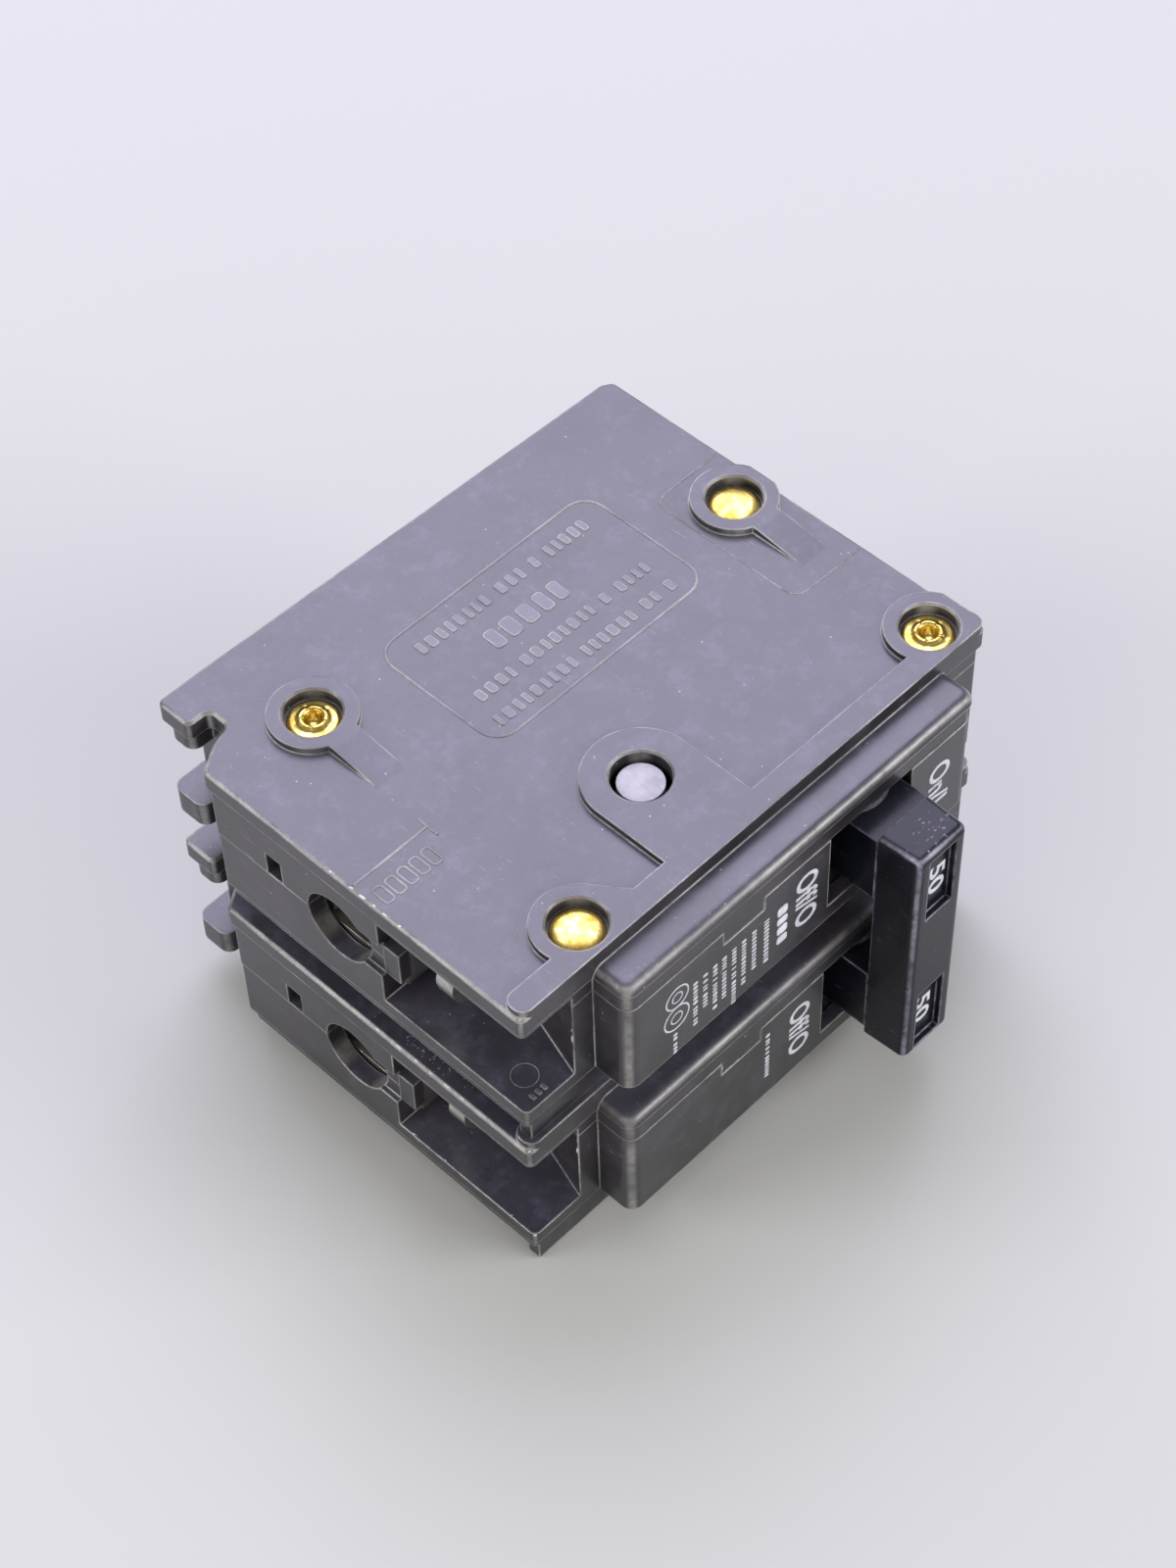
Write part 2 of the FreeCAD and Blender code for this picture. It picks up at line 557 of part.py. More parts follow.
def case_base(pole):
    tag = f"base_{pole}"
    low = "0 - floor_low"
    walls = prism(f"walls_{tag}", wall_outline(), (low, "0 - parting"))
    ease(walls, "Fillet", "Radius", "corner_round", is_upright)
    face = "esc_step * 0.6 - esc_out"
    nose = prism(f"nose_{tag}", [("esc_left + esc_step", "1"), ("esc_left + esc_step", face),
                                 ("esc_right - esc_step", face), ("esc_right - esc_step", "1")],
                  (low, "0 - parting"))
    ease(nose, "Fillet", "Radius", "esc_corner", lambda edge: is_upright(edge) and edge.BoundBox.YMax < 0)
    hook = hook_tongue(f"hook_{tag}", ("hook_tip", "notch_in + 4"),
                       (NOTCH_TOP, "case_depth + hook_rise"),
                       ("0 - hook_low", "0 - hook_low + hook_thick"))
    skirt = prism(f"skirt_{tag}", [("rim_step * 2", "rim_step * 2"),
                                   ("case_len - rim_step * 2", "rim_step * 2"),
                                   ("case_len - rim_step * 2", "case_depth - 2"),
                                   ("notch_in + 2", "case_depth - 2"), ("notch_in + 2", f"{NOTCH_LOW} - 2"),
                                   ("rim_step * 2", "case_depth - shoulder - 1")], ("0 - skirt_low", low))
    ease(skirt, "Fillet", "Radius", "corner_round", is_upright)
    spacer = box(f"spacer_{tag}", ("groove_in", "case_len - rim_step * 3"),
                 ("rim_step * 2", "case_depth - shoulder"),
                 ("0 - pole_pitch", "0 - skirt_low"))
    post = box(f"post_{tag}", ("rim_step * 2 + 0.5", "groove_in + 0.1"), ("rim_step * 2", "2.6"),
               ("0 - pole_pitch", "0 - skirt_low"))
    shell = fuse(f"outer_{tag}", walls, nose, hook, skirt, spacer, post)
    ledge = box(f"ledge_{tag}", ("rim_step + 0.6", "rim_step + term_wall - 0.1"),
                ("recess_back - 2.5", "recess_back"),
                ("0 - wire_level - 2.3", "0 - wire_level + 2.7"))
    level = "0 - mid_z"
    jaw_half = "jaw_gap + finger_t + clip_t + 1"
    hollow = cut(
        f"hollow_{tag}", shell,
        cavity(f"cavity_{tag}", ("0 - floor_top", "0")),
        escutcheon_cavity(f"esc_cavity_{tag}", ("0 - floor_top", "0")),
        recess(f"recess_{tag}", ("0 - floor_top", "0")),
        box(f"block_room_{tag}", ("-1", "block_len"), ("recess_back", "case_depth - shoulder - rim_step"),
            ("0 - wire_level", "0")),
        box(f"jaw_pocket_{tag}", ("jaw_left", CAVITY_RIGHT), ("jaw_front - clip_t - 0.1", CAVITY_BACK),
            (f"{level} - ({jaw_half})", "0")),
        box(f"jaw_way_{tag}", (f"{STRAP_X} - 0.5", f"{STRAP_X} + strap_t + 0.5"),
            ("jaw_front - 2", "jaw_front"),
            (f"{level} - strap_half - 0.6", "0")),
        box(f"stab_slot_{tag}", ("jaw_left + 1", "case_len + 1"),
            ("jaw_front + strap_t + 1", "case_depth + 9"),
            (f"{level} - stab_half", f"{level} + stab_half")),
        *wiring_cuts(tag),
    )
    inner = [rod(f"pillar_{name}_{tag}", x, y, ("0 - floor_top - 0.1", "0 - parting"), "pillar_r")
             for name, (x, y) in RIVETS.items() if name != "left"]
    inner.append(rod(f"pillar_left_{tag}", *RIVETS["left"],
                     ("0 - floor_top - 0.1", "0 - wire_level"), "pillar_r"))
    inner.append(rod(f"arm_pad_{tag}", ARM_X, "arm_y", ("0 - floor_top - 0.1", f"{level} - arm_half - 0.5"),
                     "arm_pin * 2"))
    inner.append(ledge)
    inner.append(rod(f"cradle_pad_{tag}", "cradle_x", "cradle_y",
                     ("0 - floor_top - 0.1", "0 - cradle_drop - cradle_t - 0.3"), "cradle_head"))
    deep = "0 - floor_top - 1.6"
    holes = [rod(f"rivet_way_{name}_{tag}", x, y, (BELOW, "0"), "rivet_shank + running")
             for name, (x, y) in RIVETS.items()]
    holes.append(rod(f"pillar_room_{tag}", *RIVETS["left"], ("0 - wire_level", "0"), "pillar_r + running"))
    holes.append(rod(f"cradle_hole_{tag}", "cradle_x", "cradle_y", (deep, "0"), "cradle_pin + running"))
    for name, (x, y, radius) in SHAFTS.items():
        holes.append(rod(f"{name}_bearing_{tag}", x, y, (deep, "0"), f"{radius} + running"))
    bar_low = deep if pole == "b" else BELOW
    holes.append(rod(f"bar_way_{tag}", "bar_x", "bar_y", (bar_low, "0"), "bar_r + running"))
    holes.append(box(f"handle_slot_{tag}", ("handle_x - slot_off", "handle_x + slot_on"),
                     ("-20", "esc_wall - esc_out + 0.1"), (SLOT_LOW, "0")))
    holes.append(box(f"tab_room_{tag}", ("tab_x - running", "tab_x + tab_wide + running"),
                     ("0 - esc_out - 1", "esc_wall - esc_out + running"),
                     ("0 - parting - tab_drop - running", "0")))
    if pole == "b":
        holes += [rod(f"seat_{name}_{tag}", x, y, (BELOW, "0 - pole_pitch + rivet_head_t + 0.8"), "seat_r")
                  for name, (x, y) in RIVETS.items()]
    body = cut(f"{tag}_solid", fuse(f"filled_{tag}", hollow, *inner), *holes)
    place(body, f"case_{tag}", LEVEL[pole])


def toggle_handle(pole):
    tag = f"handle_{pole}"
    half = ("0 - mid_z - hub_half", "0 - mid_z + hub_half")
    hub = rod(f"hub_{tag}", "0", "0", half, "hub_r")
    lever = box(f"lever_{tag}", ("0 - lever_wide / 2", "lever_wide / 2"), ("0 - lever_out", "0"),
                ("0 - mid_z - lever_half", "0 - mid_z + lever_half"))
    tongue = box(f"tongue_{tag}", ("0 - tongue_wide / 2", "tongue_wide / 2"), ("0 - tongue_out", "0"),
                 ("0 - mid_z - tongue_half", "0 - mid_z + tongue_half"))
    stub = rod(f"stub_{tag}", "0", "0", (f"{half[0]} - stub_len", f"{half[1]} + stub_len"), "stub_r")
    heel = box(f"heel_{tag}", ("-9", "9"), ("hub_r - 1.4", "9"), ("-30", "0"))
    handle = cut(f"{tag}_solid", fuse(f"{tag}_parts", hub, lever, tongue, stub), heel)
    place(handle, f"toggle_{tag}", LEVEL[pole], x="handle_x")


def handle_tie():
    low, high = "0 - pole_pitch - mid_z - tie_under", "0 - mid_z + tie_over"
    sides = [("0 - tie_wide / 2", "0 - tie_back"), ("0 - tie_face / 2", "0 - tie_front"),
             ("tie_face / 2", "0 - tie_front"), ("tie_wide / 2", "0 - tie_back")]
    block = prism("tie_block", sides, (low, high))
    back = -size("tie_back") - 1e-3
    ease(block, "Fillet", "Radius", "tie_round", lambda edge: edge.BoundBox.YMin < back)
    cuts = []
    for pole, middle in (("a", "0 - mid_z"), ("b", "0 - mid_z - pole_pitch")):
        cuts.append(box(f"tie_window_{pole}", ("0 - window_wide / 2", "window_wide / 2"),
                        ("0 - tie_front - 1", "window_deep - tie_front"),
                        (f"{middle} - window_drop - window_half", f"{middle} - window_drop + window_half")))
        cuts.append(box(f"tie_pocket_{pole}",
                        ("0 - tongue_wide / 2 - running", "tongue_wide / 2 + running"),
                        ("0 - tongue_out - running", "1"),
                        (f"{middle} - tongue_half - running", f"{middle} + tongue_half + running")))
    place(cut("tie_solid", block, *cuts), "handle_tie", LEVEL["a"], x="handle_x")


def rivets():
    """Four semi-tubular rivets through both poles, two head up and two with the clinched end up."""
    top = "0 - seat_deep"
    low = "0 - pole_pitch * 2 + rivet_head_t + 0.8"
    for node, names, head_up in (("rivets_head_up", ("near", "jaw"), True),
                                 ("rivets_tail_up", ("left", "corner"), False)):
        solids = []
        for name in names:
            x, y = RIVETS[name]
            shank = rod(f"shank_{name}", x, y, (f"{low} - 0.1", f"{top} + 0.1"), "rivet_shank")
            upper = rod(f"upper_{name}", x, y, (top, f"{top} + rivet_head_t"), "rivet_head")
            lower = rod(f"lower_{name}", x, y, (f"{low} - rivet_head_t", low), "rivet_head")
            bore = doc.addObject("Part::Cone", f"bore_{name}")
            bind(bore, "Height", "3.2")
            wide, narrow = ("Radius1", "Radius2") if head_up else ("Radius2", "Radius1")
            bind(bore, wide, "rivet_bore * 1.6")
            bind(bore, narrow, "rivet_bore")
            start = f"{low} - rivet_head_t - 0.01" if head_up else f"{top} + rivet_head_t + 0.01 - 3.2"
            for axis, text in zip("xyz", (x, y, start)):
                bind(bore, f"Placement.Base.{axis}", text)
            solids.append(cut(f"rivet_{name}", fuse(f"rivet_body_{name}", shank, upper, lower), bore))
        place(group(node, *solids), node, LEVEL["a"])


def wiring(pole):
    half = "lug_high / 2"
    lug = box(f"collar_{pole}", (LUG_X, f"{LUG_X} + lug_len"), (LUG_Y, f"{LUG_Y} + lug_wide"),
              (f"0 - wire_level - {half}", f"{half} - wire_level"))
    window = box(f"collar_way_{pole}", ("-1", f"{LUG_X} + lug_len + 1"),
                 (f"{LUG_Y} + lug_front", f"{LUG_Y} + lug_wide - lug_wall"),
                 (f"0 - wire_level - {half} + lug_wall", f"{half} - wire_level - lug_wall"))
    along_y = Vector(0, 1, 0)
    thread = rod_along(along_y, f"collar_thread_{pole}", "screw_x",
                       (f"{LUG_Y} - 1", f"{LUG_Y} + lug_front + 1"),
                       "0 - wire_level", "screw_shank + running")
    place(cut(f"lug_{pole}", lug, window, thread), f"terminal_lug_{pole}", LEVEL[pole])

    head = rod_along(along_y, f"screw_cap_{pole}", "screw_x", ("screw_face", "screw_face + screw_head_t"),
                     "0 - wire_level", "screw_head")
    shank = rod_along(along_y, f"screw_stem_{pole}", "screw_x", ("screw_face + 1", "screw_end"),
                      "0 - wire_level", "screw_shank")
    slot = box(f"screw_slot_{pole}", ("screw_x - 0.6", "screw_x + 0.6"), ("0", "screw_face + 1.1"),
               ("-40", "0"))
    place(cut(f"screw_{pole}", fuse(f"screw_parts_{pole}", head, shank), slot),
          f"binding_screw_{pole}", LEVEL[pole])

    reach = ("0 - wire_level - 3.5", "0 - wire_level + 3.5")
    tongue = box(f"load_tongue_{pole}", (f"{LUG_X} + 0.4", "load_x + load_t"),
                 (STRAP_Y, f"{STRAP_Y} + load_t"), reach)
    riser = box(f"load_riser_{pole}", ("load_x", "load_x + load_t"), (STRAP_Y, "foot_y"), reach)
    foot = box(f"load_foot_{pole}", ("load_x", "bimetal_x"), ("foot_y - load_t", "foot_y"), reach)
    adjust = rod_along(Vector(1, 0, 0), f"adjust_way_{pole}", ("load_x - 1", "load_x + load_t + 1"),
                       "foot_y - 8",
                       "0 - wire_level", "arm_pin + running")
    place(cut(f"load_{pole}", fuse(f"load_parts_{pole}", tongue, riser, foot), adjust),
          f"load_strap_{pole}",
          LEVEL[pole])

    cap = rod_along(Vector(1, 0, 0), f"adjust_cap_{pole}", ("load_x - 2.2", "load_x - 0.6"), "foot_y - 8",
                    "0 - wire_level", "arm_pin * 1.6")
    stem = rod_along(Vector(1, 0, 0), f"adjust_stem_{pole}", ("load_x - 1.2", "bimetal_x - 0.05"),
                     "foot_y - 8",
                     "0 - wire_level", "arm_pin")
    place(fuse(f"adjust_{pole}", cap, stem), f"calibration_screw_{pole}", LEVEL[pole])


def contacts(pole):
    pad_x = f"{STRAP_X} - contact_t * 2 - contact_gap - ({ARM_X})"
    z = ("0 - mid_z - arm_half", "0 - mid_z + arm_half")
    hub = rod(f"arm_hub_{pole}", "0", "0", z, "arm_wide * 0.72")
    blade = bar(f"arm_blade_{pole}", "0", "0", z, "arm_len", "arm_wide", "arm_lean")
    pad = box(f"arm_pad_end_{pole}", (f"{pad_x} - 2", pad_x), ("contact_y - 2.6", "contact_y + 2.6"),
              ("0 - mid_z - contact_r - 0.2", "0 - mid_z + contact_r + 0.2"))
    pin = rod(f"arm_axle_{pole}", "0", "0", ("0 - floor_top - 1.3", "-4.6"), "arm_pin")
    post = rod(f"arm_post_{pole}", "arm_len * 0.7 * cos(arm_lean * 1 deg)",
               "arm_len * 0.7 * sin(arm_lean * 1 deg)",
               (z[0], "-6.4"), "spring_r / 2")
    along_x = Vector(1, 0, 0)
    seat = rod_along(along_x, f"arm_seat_{pole}", (f"{pad_x} - 3", f"{pad_x} + 1"), "contact_y",
                     "0 - mid_z",
                     "contact_r / 2 + 0.02")
    arm = cut(f"arm_{pole}", fuse(f"arm_parts_{pole}", hub, blade, pad, pin, post), seat)
    face = rod_along(along_x, f"button_face_{pole}", (pad_x, f"{pad_x} + contact_t"), "contact_y",
                     "0 - mid_z",
                     "contact_r")
    tail = rod_along(along_x, f"button_tail_{pole}", (f"{pad_x} - 1.9", f"{pad_x} + 0.1"),
                     "contact_y", "0 - mid_z",
                     "contact_r / 2")
    button = fuse(f"button_{pole}", face, tail)
    for piece, label in ((arm, f"contact_arm_{pole}"), (button, f"moving_contact_{pole}")):
        piece.Placement = FreeCAD.Placement(Vector(), Rotation(Vector(0, 0, 1), 0))
        bind(piece, "Placement.Rotation.Angle", "arm_open")
        place(piece, label, LEVEL[pole], x=ARM_X, y="arm_y")

    level = "arm_y + contact_y"
    half = "strap_half"
    upright = box(f"line_upright_{pole}", (STRAP_X, f"{STRAP_X} + strap_t"),
                  (f"{level} - 3.5", "jaw_front + strap_t"),
                  (f"0 - mid_z - {half}", f"{half} - mid_z"))
    jaw_x = ("case_len - jaw_in - jaw_len", "case_len - jaw_in")
    reach = "jaw_gap + finger_t"
    bridge = box(f"jaw_bridge_{pole}", jaw_x, ("jaw_front", "jaw_front + strap_t"),
                 (f"0 - mid_z - ({reach})", f"{reach} - mid_z"))
    fingers = [
        box(f"finger_low_{pole}", jaw_x, ("jaw_front + 0.1", f"{CAVITY_BACK} - 0.6"),
            (f"0 - mid_z - ({reach})", "0 - mid_z - jaw_gap")),
        box(f"finger_top_{pole}", jaw_x, ("jaw_front + 0.1", f"{CAVITY_BACK} - 0.6"),
            ("jaw_gap - mid_z", f"{reach} - mid_z")),
    ]
    seat = rod_along(along_x, f"line_seat_{pole}", (f"{STRAP_X} - 1", f"{STRAP_X} + strap_t + 1"),
                     level, "0 - mid_z",
                     "contact_r / 2 + 0.02")
    place(cut(f"line_{pole}", fuse(f"line_parts_{pole}", upright, bridge, *fingers), seat),
          f"line_strap_{pole}",
          LEVEL[pole])
    face = rod_along(along_x, f"fixed_face_{pole}", (f"{STRAP_X} - contact_t", STRAP_X), level, "0 - mid_z",
                     "contact_r * 1.1")
    tail = rod_along(along_x, f"fixed_tail_{pole}",
                     (f"{STRAP_X} - 0.1", f"{STRAP_X} + strap_t - 0.1"), level, "0 - mid_z",
                     "contact_r / 2")
    place(fuse(f"fixed_{pole}", face, tail), f"fixed_contact_{pole}", LEVEL[pole])

    outer = f"{reach} + clip_t + running"
    clip_x = (f"{STRAP_X} + strap_t + 0.8", "case_len - jaw_in - 1")
    clip = box(f"clip_block_{pole}", clip_x, ("jaw_front - clip_t - running", f"{CAVITY_BACK} - 3"),
               (f"0 - mid_z - ({outer})", f"{outer} - mid_z"))
    way = box(f"clip_way_{pole}", ("0", "99"), ("jaw_front - running", "99"),
              (f"0 - mid_z - ({reach}) - running", f"{reach} + running - mid_z"))
    place(cut(f"clip_{pole}", clip, way), f"jaw_spring_{pole}", LEVEL[pole])


def arc_chute(pole):
    plates = []
    for index in range(5):
        y = f"{12 + 3 * index}"
        sheet_x = (f"{STRAP_X} - 3.5", "case_len - rivet_jaw - 1.3")
        whole = box(f"arc_sheet_{index}_{pole}", sheet_x, (y, f"{y} + 0.8"), ARC_LEVELS)
        throat = box(f"arc_throat_{index}_{pole}", (f"{STRAP_X} - 4", f"{STRAP_X} - 0.5"), ("0", "60"),
                     ("0 - mid_z - 2", "0 - mid_z + 2"))
        plates.append(cut(f"arc_plate_{index}_{pole}", whole, throat))
    place(group(f"arc_set_{pole}", *plates), f"arc_plates_{pole}", LEVEL[pole])
    shield = box(f"shield_{pole}", ("case_len - rivet_jaw - 1.25", "case_len - rivet_jaw - 0.45"),
                 ("11", "27"),
                 ARC_LEVELS)
    place(shield, f"arc_shield_{pole}", LEVEL[pole])


def trip_parts(pole):
    low = "0 - cradle_drop - cradle_t"
    z = (low, "0 - cradle_drop")
    hub = rod(f"cradle_hub_{pole}", "cradle_x", "cradle_y", z, "cradle_hub")
    arm = bar(f"cradle_arm_{pole}", "cradle_x", "cradle_y", z, "17", "3.4", "52")
    latch = bar(f"cradle_latch_{pole}", "cradle_x", "cradle_y", z, "11.2", "2.4", "88")
    post = rod(f"cradle_post_{pole}", "cradle_x + 9.5", "cradle_y + 12.1", (low, "-6.4"), "spring_r / 2")
    way = rod(f"cradle_way_{pole}", "cradle_x", "cradle_y", ("-30", "0"), "cradle_pin + running")
    cradle = cut(f"cradle_{pole}", fuse(f"cradle_parts_{pole}", hub, arm, latch, post), way)
    place(cradle, f"trip_cradle_{pole}", LEVEL[pole])

    pin = rod(f"pin_stem_{pole}", "cradle_x", "cradle_y", ("0 - floor_top - 1.5", "-4.9"), "cradle_pin")
    head = rod(f"pin_head_{pole}", "cradle_x", "cradle_y", ("-5", "-1.2"), "cradle_head")
    place(fuse(f"pin_{pole}", pin, head), f"cradle_pin_{pole}", LEVEL[pole])

    strip = box(f"strip_{pole}", ("bimetal_x", "bimetal_x + bimetal_t"), ("bimetal_top", "foot_y"),
                ("0 - mid_z - 2.9", "0 - mid_z + 2.9"))
    place(strip, f"bimetal_{pole}", LEVEL[pole])

    core = box(f"yoke_core_{pole}", ("bimetal_x - 1", "bimetal_x + 3.4"), ("30", "38"),
               ("0 - mid_z - 4.2", "0 - mid_z + 4.2"))
    room = box(f"yoke_room_{pole}", ("bimetal_x", "60"), ("20", "50"),
               ("0 - mid_z - 3.2", "0 - mid_z + 3.2"))
    place(cut(f"yoke_{pole}", core, room), f"magnet_yoke_{pole}", LEVEL[pole])

    x, y, radius = SHAFTS["armature"]
    half = "3.3"
    plate = box(f"armature_plate_{pole}", ("armature_x", "armature_x + armature_t"), ("24", "armature_y"),
                (f"0 - mid_z - {half}", f"{half} - mid_z"))
    knuckle = rod(f"armature_knuckle_{pole}", x, y, (f"0 - mid_z - {half}", f"{half} - mid_z"), "1.7")
    axle = rod(f"armature_axle_{pole}", x, y, ("0 - floor_top - 1.3", "-4.6"), radius)
    place(fuse(f"armature_solid_{pole}", plate, knuckle, axle), f"armature_{pole}", LEVEL[pole])


def main_spring(pole):
    """Coil spring from the cradle's post to the arm's post, wound along X."""
    length = 10.6
    wire_r = size("spring_wire")
    coil_r = size("spring_r")
    helix = Part.makeHelix(length / 9, length, coil_r)
    start = Part.Wire(Part.makeCircle(wire_r, Vector(coil_r, 0, 0), Vector(0, 1, 0.18)))
    coil = Part.Wire(helix.Edges).makePipeShell([start], True, True)
    spring = doc.addObject("Part::Feature", f"spring_{pole}")
    spring.Shape = coil
    spring.Placement = FreeCAD.Placement(Vector(), Rotation(Vector(0, 0, 1), Vector(1, 0, 0)))
    bind(spring, "Placement.Base.z", "-8.3")
    place(spring, f"main_spring_{pole}", f"{LEVEL[pole]}", x="cradle_x + 10.75", y="cradle_y + 11.4")


def flex_braid(pole):
    """Braided shunt: straight runs joined by tangent arcs, from the bimetal's free end to the arm."""
    corners = [Vector(0, 0, 0), Vector(9, 0, 0), Vector(17, 3.2, 0), Vector(22, -3.4, 0)]
    reach = 2.2
    edges = []
    start = corners[0]
    for before, corner, after in zip(corners, corners[1:], corners[2:]):
        into, out = (corner - before).normalize(), (after - corner).normalize()
        half_turn = into.getAngle(out) / 2
        bulge = reach * (1 / math.cos(half_turn) - 1) / math.tan(half_turn)
        first, last = corner - into * reach, corner + out * reach
        edges.append(Part.LineSegment(start, first).toShape())
        edges.append(Part.Arc(first, corner + (out - into).normalize() * bulge, last).toShape())
        start = last
    edges.append(Part.LineSegment(start, corners[-1]).toShape())
    profile = Part.Wire(Part.makeCircle(0.9, corners[0], Vector(1, 0, 0)))
    braid = doc.addObject("Part::Feature", f"braid_{pole}")
    braid.Shape = Part.Wire(edges).makePipeShell([profile], True, True)
    bind(braid, "Placement.Base.z", "0 - mid_z")
    place(braid, f"flex_braid_{pole}", LEVEL[pole], x="bimetal_x + bimetal_t + 0.02", y="bimetal_top + 1.6")


def trip_bar():
    shaft = rod("bar_shaft", "bar_x", "bar_y", ("0 - pole_pitch - floor_top - 1.4", "-4.4"), "bar_r")
    fingers = [bar(f"bar_finger_{pole}", "bar_x", "bar_y", (f"{drop} - 11.2", f"{drop} - 9.4"),
                   "8.4", "2", "252")
               for pole, drop in (("a", "0"), ("b", "0 - pole_pitch"))]
    place(fuse("bar_solid", shaft, *fingers), "trip_bar", LEVEL["a"])


for pole_name in LEVEL:
    case_cover(pole_name)
    case_base(pole_name)
    toggle_handle(pole_name)
    wiring(pole_name)
    contacts(pole_name)
    arc_chute(pole_name)
    trip_parts(pole_name)
    main_spring(pole_name)
    flex_braid(pole_name)
handle_tie()
rivets()
trip_bar()
doc.recompute()

failed = [thing.Name for thing in doc.Objects if {"Invalid", "Error"} & set(thing.State)]
failed += [node.Label for node in nodes if node.Shape.isNull() or not node.Shape.isValid()]
if failed:
    raise RuntimeError("these did not build: " + ", ".join(failed))
os.makedirs("parts", exist_ok=True)
for node in nodes:
    node.Shape.exportStep(f"parts/{node.Label}.step")
    print(node.Label, len(node.Shape.Solids), round(node.Shape.Volume, 1))
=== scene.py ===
import bpy
import bmesh
import math
import random
from mathutils import Matrix, Vector


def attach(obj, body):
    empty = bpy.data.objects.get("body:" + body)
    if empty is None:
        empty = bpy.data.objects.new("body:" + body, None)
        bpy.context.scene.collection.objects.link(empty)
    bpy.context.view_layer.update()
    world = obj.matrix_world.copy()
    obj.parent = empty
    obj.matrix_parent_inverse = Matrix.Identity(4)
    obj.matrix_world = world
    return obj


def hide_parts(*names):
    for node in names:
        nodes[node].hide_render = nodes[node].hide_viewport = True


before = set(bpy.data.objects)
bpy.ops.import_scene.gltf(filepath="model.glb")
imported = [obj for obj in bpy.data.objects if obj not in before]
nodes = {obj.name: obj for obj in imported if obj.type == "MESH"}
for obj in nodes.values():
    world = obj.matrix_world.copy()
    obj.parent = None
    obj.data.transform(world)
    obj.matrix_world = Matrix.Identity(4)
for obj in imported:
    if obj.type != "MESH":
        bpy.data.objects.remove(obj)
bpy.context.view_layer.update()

mm = 0.001

# where the first moulded corner of each pole stands, in millimetres
poleTop = {"a": 50.8, "b": 25.4}
cornerX, cornerY = 38.1, 23.7


# a pole's own millimetres, from its wiring end, plate front and boss tops, to the frame's metres
def place(x, y, z, pole="a"):
    return Vector(((x - cornerX) * mm, (y - cornerY) * mm, (poleTop[pole] + z) * mm))


def toLinear(hexColour):
    parts = [int(hexColour[i:i + 2], 16) / 255 for i in (1, 3, 5)]
    return tuple(c / 12.92 if c <= 0.04045 else ((c + 0.055) / 1.055) ** 2.4 for c in parts) + (1.0,)


# the camera's own axes and place, in metres, and its lens in millimetres
view = {
    "sensorHigh": 36, "clipStart": 0.01,
    "position": (-0.1704, -0.1707, 0.3338),
    "right": (0.69539, -0.71827, -0.02284),
    "up": (0.5687, 0.5306, 0.6286),
    "forward": (0.43935, 0.45007, -0.77744),
    "lens": 75.48,
}


def addCamera():
    data = bpy.data.cameras.new("camera")
    data.lens = view["lens"]
    data.sensor_fit = "VERTICAL"
    data.sensor_height = view["sensorHigh"]
    data.clip_start = view["clipStart"]
    camera = bpy.data.objects.new("camera", data)
    turn = Matrix((view["right"], view["up"], [-v for v in view["forward"]])).transposed()
    camera.matrix_world = Matrix.Translation(view["position"]) @ turn.to_4x4()
    bpy.context.scene.collection.objects.link(camera)
    bpy.context.scene.camera = camera


def areaLight(name, position, target, size, power, colour):
    data = bpy.data.lights.new(name, "AREA")
    data.shape = "RECTANGLE"
    data.size, data.size_y = size
    data.energy = power
    data.color = toLinear(colour)[:3]
    light = bpy.data.objects.new(name, data)
    light.location = position
    aim = Vector(target) - Vector(position)
    light.rotation_euler = aim.to_track_quat("-Z", "Y").to_euler()
    bpy.context.scene.collection.objects.link(light)


addCamera()
lights = [
    # name, position, aimed at, size, watts, colour
    ("overhead", (0.42, 0.46, 0.95), (0, 0, 0.03), (0.9, 0.9), 12.6, "#e6e2ff"),
    ("frontFill", (-0.25, -0.9, 0.62), (0, 0, 0.02), (0.8, 0.5), 2.0, "#fff6ee"),
    ("leftFill", (-0.9, -0.2, 0.6), (0, 0, 0.02), (0.6, 0.6), 2.5, "#fff8f0"),
    ("backFill", (0.3, 0.9, 0.4), (0, 0, 0.02), (0.6, 0.4), 2.2, "#f4f6ff"),
    # two strips that draw bright lines along the rounded front and left edges
    ("frontStrip", (0.50, -0.86, 0.50), (0, 0, 0.03), (0.75, 0.22), 7.5, "#ffffff"),
    ("leftStrip", (-0.86, 0.50, 0.46), (0, 0, 0.03), (0.6, 0.2), 5.0, "#ffffff"),
]
for light in lights:
    areaLight(*light)
studio = {"colour": "#e4e4e6", "strength": 0.45}  # even light from all round
world = bpy.data.worlds.new("studio")
bpy.context.scene.world = world
world.use_nodes = True
backdrop = world.node_tree.nodes["Background"]
backdrop.inputs["Color"].default_value = toLinear(studio["colour"])
backdrop.inputs["Strength"].default_value = studio["strength"]
bpy.context.scene.view_settings.view_transform = "Standard"
print("camera and lights")


# adds one shader node: values fill its sockets in order, sockets fills others by name or number,
# and settings are its properties; a socket given as a value is linked
def addNode(tree, kind, *values, sockets=None, **settings):
    node = tree.nodes.new("ShaderNode" + kind)
    for key, value in settings.items():
        setattr(node, key, value)
    for key, value in [*enumerate(values), *(sockets or {}).items()]:
        if isinstance(value, bpy.types.NodeSocket):
            tree.links.new(value, node.inputs[key])
        else:
            node.inputs[key].default_value = value
    return node


def blank(name):
    material = bpy.data.materials.new(name)
    material.use_nodes = True
    tree = material.node_tree
    tree.nodes.clear()
    return material, tree


